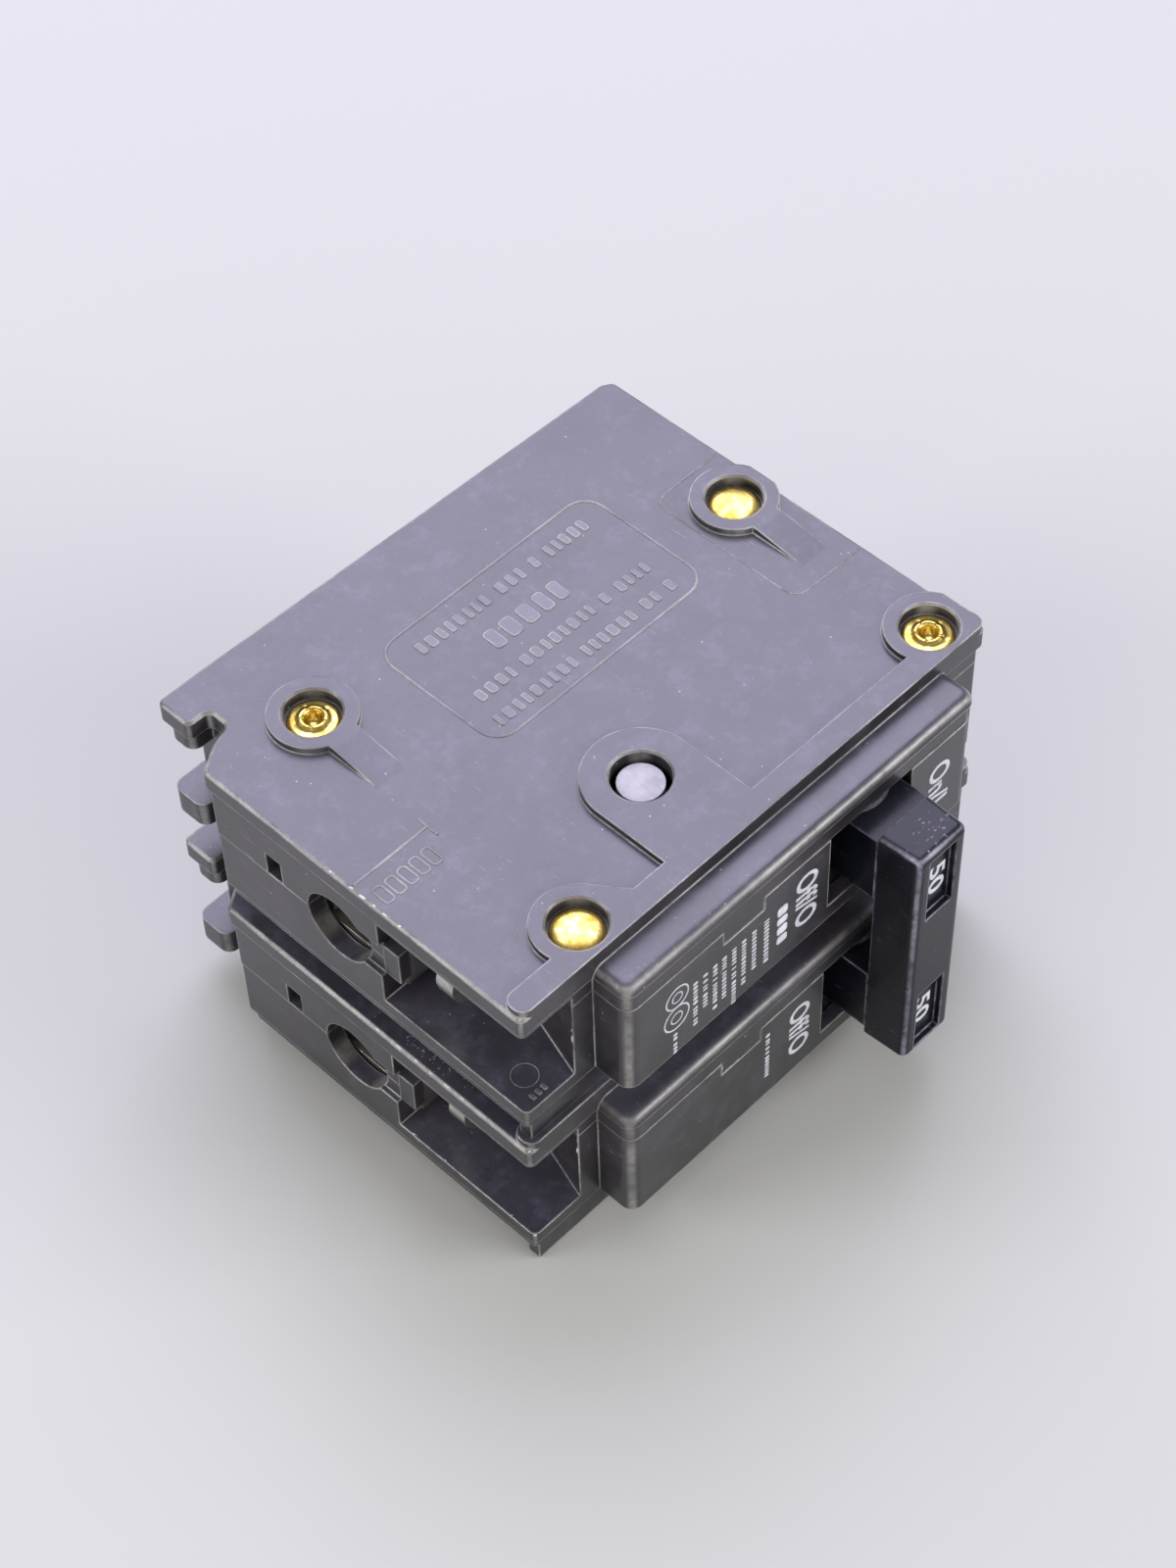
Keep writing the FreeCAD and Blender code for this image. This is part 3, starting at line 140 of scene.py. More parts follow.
# a moulded thermoset or plastic: its colour drifts, edges wear pale with a painted highlight on them, and
# dust with a painted lilac sheen sits on its upward faces
def wornMoulding(name, finish):
    material, tree = blank(name)
    places = addNode(tree, "TexCoord")
    where = places.outputs["Object"]
    flat = addNode(tree, "NewGeometry").outputs["Normal"]
    upwards = addNode(tree, "SeparateXYZ", flat).outputs["Z"]
    rounded = addNode(tree, "Bevel", sockets={"Radius": finish["edgeMm"] * mm}, samples=6).outputs[0]

    # grain in millimetres, detail and roughness of each noise
    noises = {
        "cloud": (finish["cloudMm"], 4.0, 0.6), "grain": (finish["grainMm"], 2.0, 0.5),
        "patch": (finish["patchMm"], 5.0, 0.7), "area": (finish["patchMm"] * 5, 2.0, 0.6),
        "film": (finish["cloudMm"] * 0.4, 5.0, 0.65), "haze": (finish["cloudMm"] * 0.25, 6.0, 0.75),
        "rare": (finish["speckMm"] * 2.2, 2.0, 0.55),
    }
    noise = {}
    for key, (size, detail, rough) in noises.items():
        noise[key] = addNode(tree, "TexNoise", sockets={
            "Vector": where, "Scale": 1 / (size * mm), "Detail": detail, "Roughness": rough}).outputs["Fac"]
    # fine scratches: a noise stretched long, in two directions
    for key, turn, stretch in (("scratchA", (0.2, 0.1, 0.6), 8.0), ("scratchB", (0.1, 0.3, -0.9), 10.0)):
        mapping = addNode(tree, "Mapping", sockets={
            "Vector": where, "Rotation": turn, "Scale": (1.0, 1.0 / stretch, 1.0)})
        noise[key] = addNode(tree, "TexNoise", sockets={
            "Vector": mapping.outputs[0], "Scale": 1 / (finish["scratchMm"] * mm), "Detail": 3.0,
            "Roughness": 0.7}).outputs["Fac"]
    speck = addNode(tree, "TexVoronoi", sockets={
        "Vector": where, "Scale": 1 / (finish["speckMm"] * mm), "Randomness": 1.0}, feature="F1")
    # a rounded normal leaves the true one only at an edge
    match = addNode(tree, "VectorMath", rounded, flat, operation="DOT_PRODUCT").outputs["Value"]
    # a moulded rounding looks along none of the piece's own axes; the pale colour laid on roundings is a
    # painted highlight, with some wear
    lean = addNode(tree, "VectorMath", places.outputs["Normal"], operation="ABSOLUTE").outputs[0]
    sides = addNode(tree, "SeparateXYZ", lean).outputs
    most = addNode(tree, "Math", sides[0], sides[1], operation="MAXIMUM").outputs[0]
    most = addNode(tree, "Math", most, sides[2], operation="MAXIMUM").outputs[0]

    # what each pattern reads, from and to, and what that turns into
    scratchFrom = finish["scratchFrom"]
    ranges = {
        "drift": (noise["cloud"], 0.35, 0.68, 0.0, 1.0),
        # corners and roundings made pale below: part wear, part painted highlight
        "corner": (match, 0.99, 0.9, 0.0, 1.0),
        "rounding": (most, 0.94, 0.8, 0.0, 1.0),
        "patch": (noise["patch"], finish["edgePatchFrom"], finish["edgePatchTo"], 0.0, 1.0),
        "area": (noise["area"], 0.36, 0.6, 0.35, 1.0),
        # upward faces get a lilac tint here, part dust and part painted sheen
        "facingUp": (upwards, 0.8, 0.98, 0.0, 1.0),
        "film": (noise["film"], 0.3, 0.7, finish["dustSheenAmount"] * 0.6, finish["dustSheenAmount"]),
        "haze": (noise["haze"], 0.5, 0.78, 0.0, 1.0),
        "hazeUp": (upwards, 0.8, 0.98, 0.35, 1.0),
        "dots": (speck.outputs["Distance"], 0.11, 0.05, 0.0, 1.0),
        "rare": (noise["rare"], 0.55, 0.66, 0.0, 1.0),
        "lineA": (noise["scratchA"], scratchFrom, scratchFrom + 0.035, 0.0, 1.0),
        "lineB": (noise["scratchB"], scratchFrom, scratchFrom + 0.035, 0.0, 1.0),
        "handled": (noise["cloud"], 0.42, 0.62, 0.0, 1.0),
        "rough": (noise["cloud"], 0.3, 0.7, finish["roughLow"], finish["roughHigh"]),
    }
    at = {key: addNode(tree, "MapRange", *row).outputs[0] for key, row in ranges.items()}

    # the masks, each made from two others in this order
    steps = [
        # mask, operation, first, second, held between 0 and 1
        ("rounding", "MULTIPLY", "rounding", finish["roundHighlightAndWear"], False),
        ("edge", "MAXIMUM", "corner", "rounding", False),
        ("patchy", "MULTIPLY", "patch", "area", False),
        # pale edges: part wear, part painted highlight
        ("worn", "MULTIPLY", "edge", "patchy", True),
        ("worn", "MULTIPLY", "worn", finish["wearHighlightStrength"], False),
        # the lilac tint on upward faces: part dust, part painted sheen
        ("dustAndSheenUp", "MULTIPLY", "facingUp", "film", False),
        ("haze", "MULTIPLY", "haze", "hazeUp", False),
        ("haze", "MULTIPLY", "haze", finish["haze"], False),
        ("dust", "MULTIPLY", "dots", "rare", False),
        ("dust", "MULTIPLY", "dust", finish["dust"], False),
        ("lines", "MAXIMUM", "lineA", "lineB", False),
        ("lines", "MULTIPLY", "lines", "handled", False),
        ("scratch", "MULTIPLY", "lines", finish["scratch"], False),
        ("marks", "MAXIMUM", "dust", "scratch", True),
        ("roughMarks", "MULTIPLY", "marks", 0.25, False),
        ("rough", "ADD", "rough", "roughMarks", True),
        ("dent", "MULTIPLY", "lines", 0.6, False),
    ]
    for key, operation, first, second, clamp in steps:
        pair = [at[value] if isinstance(value, str) else value for value in (first, second)]
        at[key] = addNode(tree, "Math", *pair, operation=operation, use_clamp=clamp).outputs[0]

    # colour from the bottom up: body, pale edges (wear and painted highlight), a thin lilac layer on upward
    # faces and hazy patches of it (dust and painted sheen), dust and scratches
    base = toLinear(finish["dark"])
    for mask, colour in (("drift", "light"), ("worn", "wearAndHighlightColour"), ("dustAndSheenUp", "dustSheenColour"),
                         ("haze", "dustSheenColour"), ("marks", "dustColour")):
        base = addNode(tree, "Mix", at[mask], sockets={6: base, 7: toLinear(finish[colour])},
                       data_type="RGBA").outputs[2]
    high = addNode(tree, "Math", noise["grain"], finish["grainHigh"], operation="MULTIPLY").outputs[0]
    height = addNode(tree, "Math", high, at["dent"], operation="SUBTRACT").outputs[0]
    bump = addNode(tree, "Bump", sockets={
        "Strength": finish["bump"], "Distance": 0.05 * mm, "Height": height, "Normal": rounded})
    shader = addNode(tree, "BsdfPrincipled", sockets={
        "Base Color": base, "Roughness": at["rough"], "IOR": finish["ior"],
        "Specular IOR Level": finish["specular"], "Coat Weight": finish["coat"],
        "Coat Roughness": finish["coatRough"], "Normal": bump.outputs[0]})
    addNode(tree, "OutputMaterial", shader.outputs[0])
    return material


# a bare or plated metal: tarnish clouds, fine lay lines and small nicks
def metal(name, finish):
    material, tree = blank(name)
    where = addNode(tree, "TexCoord").outputs["Object"]
    stretched = addNode(tree, "Mapping", sockets={"Vector": where, "Scale": finish["lay"]}).outputs[0]
    noise = {}
    for key, vector, size, detail in (("cloud", where, "cloudMm", 4.0), ("lay", stretched, "layMm", 2.0)):
        noise[key] = addNode(tree, "TexNoise", sockets={
            "Vector": vector, "Scale": 1 / (finish[size] * mm), "Detail": detail,
            "Roughness": 0.6}).outputs["Fac"]
    cloud, lay = noise["cloud"], noise["lay"]
    tarnish = addNode(tree, "MapRange", cloud, 0.38, 0.66, 0.0, 1.0).outputs[0]
    streak = addNode(tree, "MapRange", lay, 0.45, 0.7, 0.0, 1.0).outputs[0]
    streak = addNode(tree, "Math", streak, 0.25, operation="MULTIPLY").outputs[0]
    base = toLinear(finish["light"])
    for mask in (tarnish, streak):
        base = addNode(tree, "Mix", mask, sockets={6: base, 7: toLinear(finish["dark"])},
                       data_type="RGBA").outputs[2]
    cloudShare = addNode(tree, "Math", cloud, 0.6, operation="MULTIPLY").outputs[0]
    layShare = addNode(tree, "Math", lay, 0.4, operation="MULTIPLY").outputs[0]
    both = addNode(tree, "Math", cloudShare, layShare, operation="ADD").outputs[0]
    rough = addNode(tree, "MapRange", both, 0.3, 0.7, finish["roughLow"], finish["roughHigh"]).outputs[0]
    rounded = addNode(tree, "Bevel", sockets={"Radius": finish["roundMm"] * mm}, samples=4).outputs[0]
    bump = addNode(tree, "Bump", sockets={
        "Strength": finish["bump"], "Distance": 0.03 * mm, "Height": lay, "Normal": rounded})
    shader = addNode(tree, "BsdfPrincipled", sockets={
        "Base Color": base, "Metallic": finish["metallic"], "Roughness": rough, "Normal": bump.outputs[0]})
    addNode(tree, "OutputMaterial", shader.outputs[0])
    return material


print("materials")
# compression-moulded phenolic: satin dark grey-brown, sheen on flat faces from the lamps and a painted
# lilac sheen on upward faces, pale at edges from wear and a painted highlight
phenolic = {
    "dark": "#232124", "light": "#3b393d", "wearAndHighlightColour": "#d2cfcd", "dustColour": "#c4c2cc",
    "cloudMm": 13.0, "grainMm": 0.35, "patchMm": 2.0, "speckMm": 1.2, "scratchMm": 0.5,
    # pale edges, part wear and part painted highlight: the bevel width in mm from a corner, the patch
    # range, the strength, and the share of a moulded rounding they cover
    "edgeMm": 0.36, "edgePatchFrom": 0.2, "edgePatchTo": 0.56, "wearHighlightStrength": 0.95, "roundHighlightAndWear": 0.35,
    # the lilac tint laid on upward faces: part dust, part painted sheen
    "haze": 0.2, "dustSheenAmount": 0.13, "dustSheenColour": "#8f8cab",
    "dust": 0.8, "scratch": 0.25, "scratchFrom": 0.67, "roughLow": 0.27, "roughHigh": 0.42,
    "ior": 1.62, "specular": 0.5, "coat": 0.0, "coatRough": 0.3, "grainHigh": 0.5, "bump": 0.35,
}
# injection-moulded nylon for the handles: blue-black and glossier, with bright scuffs and a painted
# highlight on corners
nylon = dict(phenolic, dark="#0e1017", light="#171922", wearAndHighlightColour="#b4b2c4", dustColour="#8f90a0",
             edgeMm=0.4, edgePatchFrom=0.3, edgePatchTo=0.58, wearHighlightStrength=0.8, roundHighlightAndWear=0.8,
             roughLow=0.2, roughHigh=0.34,
             ior=1.53, specular=0.22, haze=0.03, dustSheenAmount=0.03, scratch=0.45, dust=0.6, speckMm=1.7)
# glass-filled trip bar plastic
filled = dict(phenolic, dark="#6b5a40", light="#7d6b4e", wearAndHighlightColour="#b7a88c", roughLow=0.45, roughHigh=0.6)
# vulcanised fibre: dull brick-grey sheet with a fine fleck
fibre = dict(phenolic, dark="#5d5148", light="#73665a", wearAndHighlightColour="#9a8f84", roughLow=0.65, roughHigh=0.8)
# silk-screened legend ink: chalky white with thin worn places
ink = dict(phenolic, dark="#c3c6d2", light="#e6e9f2", wearAndHighlightColour="#f2f2f4", haze=0.0, dustSheenAmount=0.0,
           roughLow=0.5, roughHigh=0.65, cloudMm=1.2, scratch=0.5, scratchFrom=0.6,
           dustColour="#77777c", dust=0.3)
# fresh breaks in the moulding: crumbly off-white; also two bars of painted highlight
paleDebrisHighlightFinish = dict(phenolic, dark="#c8c6c4", light="#f0eeec", wearAndHighlightColour="#f8f7f5", haze=0.0, dustSheenAmount=0.0,
                  roughLow=0.7, roughHigh=0.9, cloudMm=0.8, bump=0.9, grainHigh=1.0)

# mould marks made lighter, partly from handling and partly as a painted highlight, and nylon whitened where
# it was scraped
rubbedAndHighlitPhenolic = dict(phenolic, dark="#454249", light="#66626c", wearHighlightStrength=1.0, edgePatchFrom=0.1)
scuffedNylon = dict(nylon, dark="#77768f", light="#b9b7d2", roughLow=0.4, roughHigh=0.6)

steel = {"light": "#b6b4b2", "dark": "#8e8b88", "metallic": 0.9, "cloudMm": 3.0, "layMm": 0.3,
         "lay": (1.0, 0.12, 1.0), "roughLow": 0.28, "roughHigh": 0.5, "roundMm": 0.12, "bump": 0.3}
metals = {
    "steelGrey": dict(steel, light="#a19fa3", dark="#8d8b90", metallic=0.3, roughLow=0.42, roughHigh=0.55),
    "platedLug": dict(steel, light="#d7d6d2", dark="#a3a19c", roughLow=0.22, roughHigh=0.42),
    "zincSteel": dict(steel, light="#cfd0cc", dark="#9b9a90", roughLow=0.2, roughHigh=0.4),
    "copperBar": dict(steel, light="#c9825c", dark="#8e5136", metallic=1.0, roughLow=0.25, roughHigh=0.45),
    "silverButton": dict(steel, light="#e3e1da", dark="#b1ada2", metallic=1.0),
    "tinnedCopper": dict(steel, light="#d2cfc6", dark="#a29e93", metallic=1.0),
    "springSteel": dict(steel, light="#a9a7a4", dark="#6f6c6a", metallic=1.0),
    "bimetalStrip": dict(steel, light="#b4a995", dark="#8a7c66", metallic=1.0),
    "braidCopper": dict(steel, light="#c07850", dark="#7c4630", metallic=1.0, layMm=0.2, bump=0.8),
    # yellow-passivated brass: bright gold that turns straw where light strikes it
    "rivetBrass": dict(steel, light="#e6d27c", dark="#b08e3a", metallic=1.0, layMm=0.4, cloudMm=1.6,
                       roughLow=0.14, roughHigh=0.36, roundMm=0.2),
}
finishes = {name: metal(name, finish) for name, finish in metals.items()}
for name, finish in (("agedPhenolic", phenolic), ("handleNylon", nylon), ("filledPlastic", filled),
                     ("fibreSheet", fibre), ("legendInk", ink), ("paleDebrisAndHighlight", paleDebrisHighlightFinish),
                     ("rubbedAndHighlitPhenolic", rubbedAndHighlitPhenolic), ("scuffedNylon", scuffedNylon)):
    finishes[name] = wornMoulding(name, finish)

finishOfSlot = {
    "moulding": "agedPhenolic", "handle_plastic": "handleNylon", "steel_grey": "steelGrey",
    "plated_lug": "platedLug", "zinc_steel": "zincSteel", "copper_bar": "copperBar",
    "silver_button": "silverButton", "tinned_copper": "tinnedCopper", "spring_steel": "springSteel",
    "bimetal_strip": "bimetalStrip", "braid_copper": "braidCopper", "fibre_sheet": "fibreSheet",
    "rivet_brass": "rivetBrass", "bar_plastic": "filledPlastic",
}
for thing in nodes.values():
    for holder in thing.material_slots:
        holder.material = finishes[finishOfSlot[holder.material.name.split(".")[0]]]


def addPiece(name, mesh, finish, body):
    piece = bpy.data.objects.new(name, mesh)
    bpy.context.scene.collection.objects.link(piece)
    piece.data.materials.append(finishes[finish])
    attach(piece, body)
    return piece


# a face that small marks sit on: its own millimetres, along right, up and out of it, to metres
def faceOf(origin, right, up, pole="a"):
    across, along = Vector(right), Vector(up)
    out, start = across.cross(along), place(*origin, pole)
    return lambda u, v, w: start + (across * u + along * v + out * w) * mm


plateFace = faceOf((0, 0, -1.0), (1, 0, 0), (0, 1, 0))
recessFloor = faceOf((0, 0, -19.2), (1, 0, 0), (0, 1, 0))
# on the front, marks read downwards with their tops towards the bus end
frontFace = {pole: faceOf((0, -4.85, 0), (0, 0, -1), (1, 0, 0), pole) for pole in "ab"}
tieFace = {pole: faceOf((0, -13.5, 0), (0, 0, -1), (1, 0, 0), pole) for pole in "ab"}


# a low bead along a path, with its feet just under the face
def ridge(shape, face, path, width, height, closed=False):
    count = len(path)
    rings = []
    for index, point in enumerate(path):
        before = path[index - 1] if closed or index else point
        after = path[(index + 1) % count] if closed or index < count - 1 else point
        run = Vector((after[0] - before[0], after[1] - before[1])).normalized()
        side = Vector((-run.y, run.x))
        section = ((-0.5, -0.03), (-0.3, height * 0.8), (0.0, height), (0.3, height * 0.8), (0.5, -0.03))
        rings.append([shape.verts.new(face(point[0] + side.x * s * width, point[1] + side.y * s * width, h))
                      for s, h in section])
    size = len(rings[0])
    for index in range(count if closed else count - 1):
        first, second = rings[index], rings[(index + 1) % count]
        for k in range(size):
            shape.faces.new((first[k], first[(k + 1) % size], second[(k + 1) % size], second[k]))
    if not closed:
        shape.faces.new(rings[0])
        shape.faces.new(rings[-1][::-1])


def roundedBox(left, right, low, high, radius, steps=5):
    points = []
    for cx, cy, start in ((right - radius, low + radius, -90), (right - radius, high - radius, 0),
                          (left + radius, high - radius, 90), (left + radius, low + radius, 180)):
        for step in range(steps + 1):
            angle = math.radians(start + 90 * step / steps)
            points.append((cx + radius * math.cos(angle), cy + radius * math.sin(angle)))
    return points


# one raised block with drafted sides
def block(shape, face, left, right, low, high, height, draft=0.05):
    radius = min(right - left, high - low) * 0.3
    bottom = roundedBox(left, right, low, high, radius, 3)
    top = roundedBox(left + draft, right - draft, low + draft, high - draft, max(radius - draft, 0.02), 3)
    feet = [shape.verts.new(face(u, v, -0.03)) for u, v in bottom]
    crown = [shape.verts.new(face(u, v, height)) for u, v in top]
    count = len(feet)
    for k in range(count):
        shape.faces.new((feet[k], feet[(k + 1) % count], crown[(k + 1) % count], crown[k]))
    shape.faces.new(feet[::-1])
    shape.faces.new(crown)


def circle(cx, cy, radius, steps=48):
    angles = [2 * math.pi * k / steps for k in range(steps)]
    return [(cx + radius * math.cos(angle), cy + radius * math.sin(angle)) for angle in angles]


def finished(shape, name, smooth=False):
    bmesh.ops.recalc_face_normals(shape, faces=shape.faces)
    mesh = bpy.data.meshes.new(name)
    for face in shape.faces:
        face.smooth = smooth
    shape.to_mesh(mesh)
    shape.free()
    return mesh


# a row of plain blocks of mixed lengths, where a line of small marks stands
def dashes(shape, face, along, across, height, dice, widths, gap, wordGap):
    at, end = along
    while at < end - widths[0]:
        wide = min(dice.uniform(*widths), end - at)
        block(shape, face, at, at + wide, across[0], across[1], height)
        at += wide + (wordGap if dice.random() < 0.22 else gap)


print("side plate marks")
plateMarks = {
    "panel": (25.3, 60.0, 28.7, 48.8, 3.0),  # left, right, low, high and corner radius
    # width and height of each kind of bead
    "panelBead": (0.42, 0.14), "gaugeBead": (0.4, 0.12), "smallBead": (0.3, 0.12), "jawBead": (0.3, 0.07),
    "ringBead": (0.16, 0.06),
    # block lengths, gap and word gap of the small rows and of the tall one
    "small": ((0.75, 1.25), 0.5, 1.5), "tall": ((1.5, 2.0), 0.75, 1.2), "tallRow": 1, "blockHigh": 0.12,
    # rows of blocks: from, to, low, high
    "rows": [(29.0, 56.5, 44.4, 46.3), (35.5, 49.5, 38.7, 41.8), (28.6, 56.8, 34.4, 36.2),
             (27.6, 57.9, 30.3, 32.1)],
    "gaugeLine": [(0.6, 26.2), (11.8, 26.2)], "gaugeEnd": [(11.8, 24.5), (11.8, 27.7)],
    "gaugeBlocks": (1.4, 10.4, 21.6, 24.2), "gaugeCount": 5, "gaugeWide": 1.25, "gaugeRound": 0.4,
    # the ejector ring on the recess floor, and the three blocks below it
    "ring": (4.0, 4.3, 1.6), "ringBlocks": (2.3, 0.9, 0.6, 1.2, 2.2), "ringHigh": 0.06,
    "jawLine": [(75.4, 41.7), (66.2, 41.7), (65.2, 41.3), (64.7, 40.4), (64.6, 39.6), (64.6, 20.8),
                (64.8, 19.8), (65.6, 19.1), (66.6, 18.9), (75.4, 18.8)],
}


def addMarks(name, shape, finish="rubbedAndHighlitPhenolic"):
    addPiece(name, finished(shape, name), finish, "housing")


def addPlateMarks():
    dice = random.Random(11)
    marks = plateMarks
    shape = bmesh.new()
    ridge(shape, plateFace, roundedBox(*marks["panel"]), *marks["panelBead"], True)
    addMarks("ratingPanelOutline", shape)
    shape = bmesh.new()
    for number, (left, right, low, high) in enumerate(marks["rows"]):
        widths, gap, wordGap = marks["tall" if number == marks["tallRow"] else "small"]
        dashes(shape, plateFace, (left, right), (low, high), marks["blockHigh"], dice, widths, gap, wordGap)
    addMarks("ratingPanelBlocks", shape)
    shape = bmesh.new()
    ridge(shape, plateFace, marks["gaugeLine"], *marks["gaugeBead"])
    ridge(shape, plateFace, marks["gaugeEnd"], *marks["gaugeBead"])
    left, right, low, high = marks["gaugeBlocks"]
    for number in range(marks["gaugeCount"]):
        start = left + number * (right - left) / marks["gaugeCount"]
        outline = roundedBox(start, start + marks["gaugeWide"], low, high, marks["gaugeRound"], 3)
        ridge(shape, plateFace, outline, *marks["smallBead"], True)
    addMarks("stripGaugeMarks", shape)
    shape = bmesh.new()
    ridge(shape, plateFace, marks["jawLine"], *marks["jawBead"])
    addMarks("jawAreaOutline", shape, "agedPhenolic")
    shape = bmesh.new()
    ridge(shape, recessFloor, circle(*marks["ring"]), *marks["ringBead"], True)
    start, step, wide, low, high = marks["ringBlocks"]
    for number in range(3):
        left = start + number * step
        block(shape, recessFloor, left, left + wide, low, high, marks["ringHigh"])
    addMarks("ejectorRing", shape)


addPlateMarks()

print("legends")
legends = [
    # name, text, face, start along, start across, length, height, body
    ("legendOffA", "Off/O", frontFace["a"], 8.8, 38.3, 9.2, 3.7, "housing"),
    ("legendOnA", "On/I", frontFace["a"], 9.9, 61.2, 7.2, 3.7, "housing"),
    ("legendOffB", "Off/O", frontFace["b"], 8.7, 38.1, 9.3, 3.6, "housing"),
    ("legendOnB", "On/I", frontFace["b"], 9.8, 61.2, 7.2, 3.7, "housing"),
    ("ampNumberA", "50", tieFace["a"], 11.2, 51.1, 5.0, 2.8, "handles"),
    ("ampNumberB", "50", tieFace["b"], 10.9, 50.7, 5.0, 2.8, "handles"),
]
printThick = 0.04


def addLegend(name, text, face, start, low, length, high, body):
    curve = bpy.data.curves.new(name, "FONT")
    curve.body, curve.extrude, curve.resolution_u, curve.offset = text, 0.5, 4, 0.022
    holder = bpy.data.objects.new(name, curve)
    bpy.context.scene.collection.objects.link(holder)
    bpy.context.view_layer.update()
    mesh = bpy.data.meshes.new_from_object(holder.evaluated_get(bpy.context.evaluated_depsgraph_get()))
    bpy.data.objects.remove(holder)
    bpy.data.curves.remove(curve)
    xs = [v.co.x for v in mesh.vertices]
    ys = [v.co.y for v in mesh.vertices]
    for vertex in mesh.vertices:
        along = (vertex.co.x - min(xs)) / (max(xs) - min(xs))
        across = (vertex.co.y - min(ys)) / (max(ys) - min(ys))
        vertex.co = face(start + along * length, low + across * high, (vertex.co.z + 0.4) * printThick)
    shape = bmesh.new()
    shape.from_mesh(mesh)
    bmesh.ops.remove_doubles(shape, verts=shape.verts, dist=1e-7)
    bmesh.ops.dissolve_degenerate(shape, edges=shape.edges, dist=1e-7)
    addPiece(name, finished(shape, name), "legendInk", body)


for legend in legends:
    addLegend(*legend)

ratingPrint = {
    # columns of small print on the upper pole: across from, to, along from, to
    "columns": [(21.4, 22.2, 11.0, 19.6), (23.0, 23.8, 11.0, 17.6), (24.6, 25.4, 11.0, 19.6),
                (26.1, 26.9, 11.0, 19.0), (27.7, 28.5, 11.0, 21.4), (29.3, 30.1, 11.0, 19.4),
                (31.0, 31.8, 11.0, 18.6), (33.0, 33.9, 11.0, 19.0)],
    "heading": (35.2, 37.0, 11.0, 18.8), "foot": (18.2, 18.9, 17.4, 21.4),
    "rings": [(10.9, 18.9, 1.75), (14.6, 18.8, 1.95)],
    "lowBar": (33.9, 34.7, 8.8, 17.6),
}


def addRatingPrint():
    dice = random.Random(5)
    shape = bmesh.new()
    face = frontFace["a"]
    for low, high, start, end in ratingPrint["columns"] + [ratingPrint["foot"]]:
        dashes(shape, face, (start, end), (low, high), printThick, dice, (0.3, 0.6), 0.22, 0.6)
    low, high, start, end = ratingPrint["heading"]
    dashes(shape, face, (start, end), (low, high), printThick, dice, (1.3, 1.8), 0.3, 0.3)
    for along, across, radius in ratingPrint["rings"]:
        ridge(shape, face, circle(along, across, radius), 0.32, printThick, True)
        ridge(shape, face, circle(along, across, radius * 0.45, 24), 0.26, printThick, True)
    addPiece("ratingPrintA", finished(shape, "ratingPrintA"), "legendInk", "housing")
    shape = bmesh.new()
    low, high, start, end = ratingPrint["lowBar"]
    dashes(shape, frontFace["b"], (start, end), (low, high), printThick, dice, (0.35, 0.7), 0.18, 0.5)
    addPiece("ratingPrintB", finished(shape, "ratingPrintB"), "legendInk", "housing")


addRatingPrint()

print("rivets")
rivetShape = {
    "places": {"rivets_head_up": ((13.1, 4.4), (71.1, 34.7)),
               "rivets_tail_up": ((13.9, 46.9), (71.1, 4.4))},
    "top": -0.8, "low": -50.0, "sides": 72,
    # radius and depth below the end, from the axis outwards and down the shank
    "head": [(0.0, 0.0), (0.8, 0.03), (1.5, 0.1), (2.1, 0.2), (2.6, 0.32), (2.95, 0.46), (3.16, 0.64),
             (3.18, 0.78), (3.1, 0.92), (2.9, 0.99), (2.0, 1.0)],
    "clinch": [(0.0, 1.5), (0.55, 1.45), (0.85, 1.15), (0.98, 0.7), (1.1, 0.3), (1.28, 0.06), (1.5, 0.0),
               (1.72, 0.1), (1.9, 0.3), (2.2, 0.42), (2.6, 0.46), (2.9, 0.54), (3.1, 0.7), (3.16, 0.86),
               (3.0, 0.98), (2.0, 1.0)],
    "petals": 5, "petalDeep": 0.16,
}


def addRivets(name):
    shape = bmesh.new()
    top, low = ("head", "clinch") if name == "rivets_head_up" else ("clinch", "head")
    profile = [(r, rivetShape["top"] - d, top, 1) for r, d in rivetShape[top]]
    profile += [(r, rivetShape["low"] + d, low, -1) for r, d in reversed(rivetShape[low])]
    for x, y in rivetShape["places"][name]:
        rings = []
        for radius, high, end, side in profile:
            if radius == 0:
                rings.append([shape.verts.new(place(x, y, high))])
                continue
            ring = []
            for k in range(rivetShape["sides"]):
                angle = 2 * math.pi * k / rivetShape["sides"]
                notch = max(0.0, math.cos(rivetShape["petals"] * angle)) ** 12 if end == "clinch" else 0.0
                dip = side * rivetShape["petalDeep"] * notch * (1.05 < radius < 1.95)
                spot = place(x + radius * math.cos(angle), y + radius * math.sin(angle), high - dip)
                ring.append(shape.verts.new(spot))
            rings.append(ring)
        for first, second in zip(rings, rings[1:]):
            for k in range(rivetShape["sides"]):
                nextK = (k + 1) % rivetShape["sides"]
                if len(first) == 1:
                    shape.faces.new((first[0], second[k], second[nextK]))
                elif len(second) == 1:
                    shape.faces.new((first[k], second[0], first[nextK]))
                else:
                    shape.faces.new((first[k], second[k], second[nextK], first[nextK]))
    pieceName = "rivetsHeadUp" if name == "rivets_head_up" else "rivetsClinchUp"
    piece = addPiece(pieceName, finished(shape, pieceName, True), "rivetBrass", "housing")
    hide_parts(name)


for rivetNode in rivetShape["places"]:
    addRivets(rivetNode)

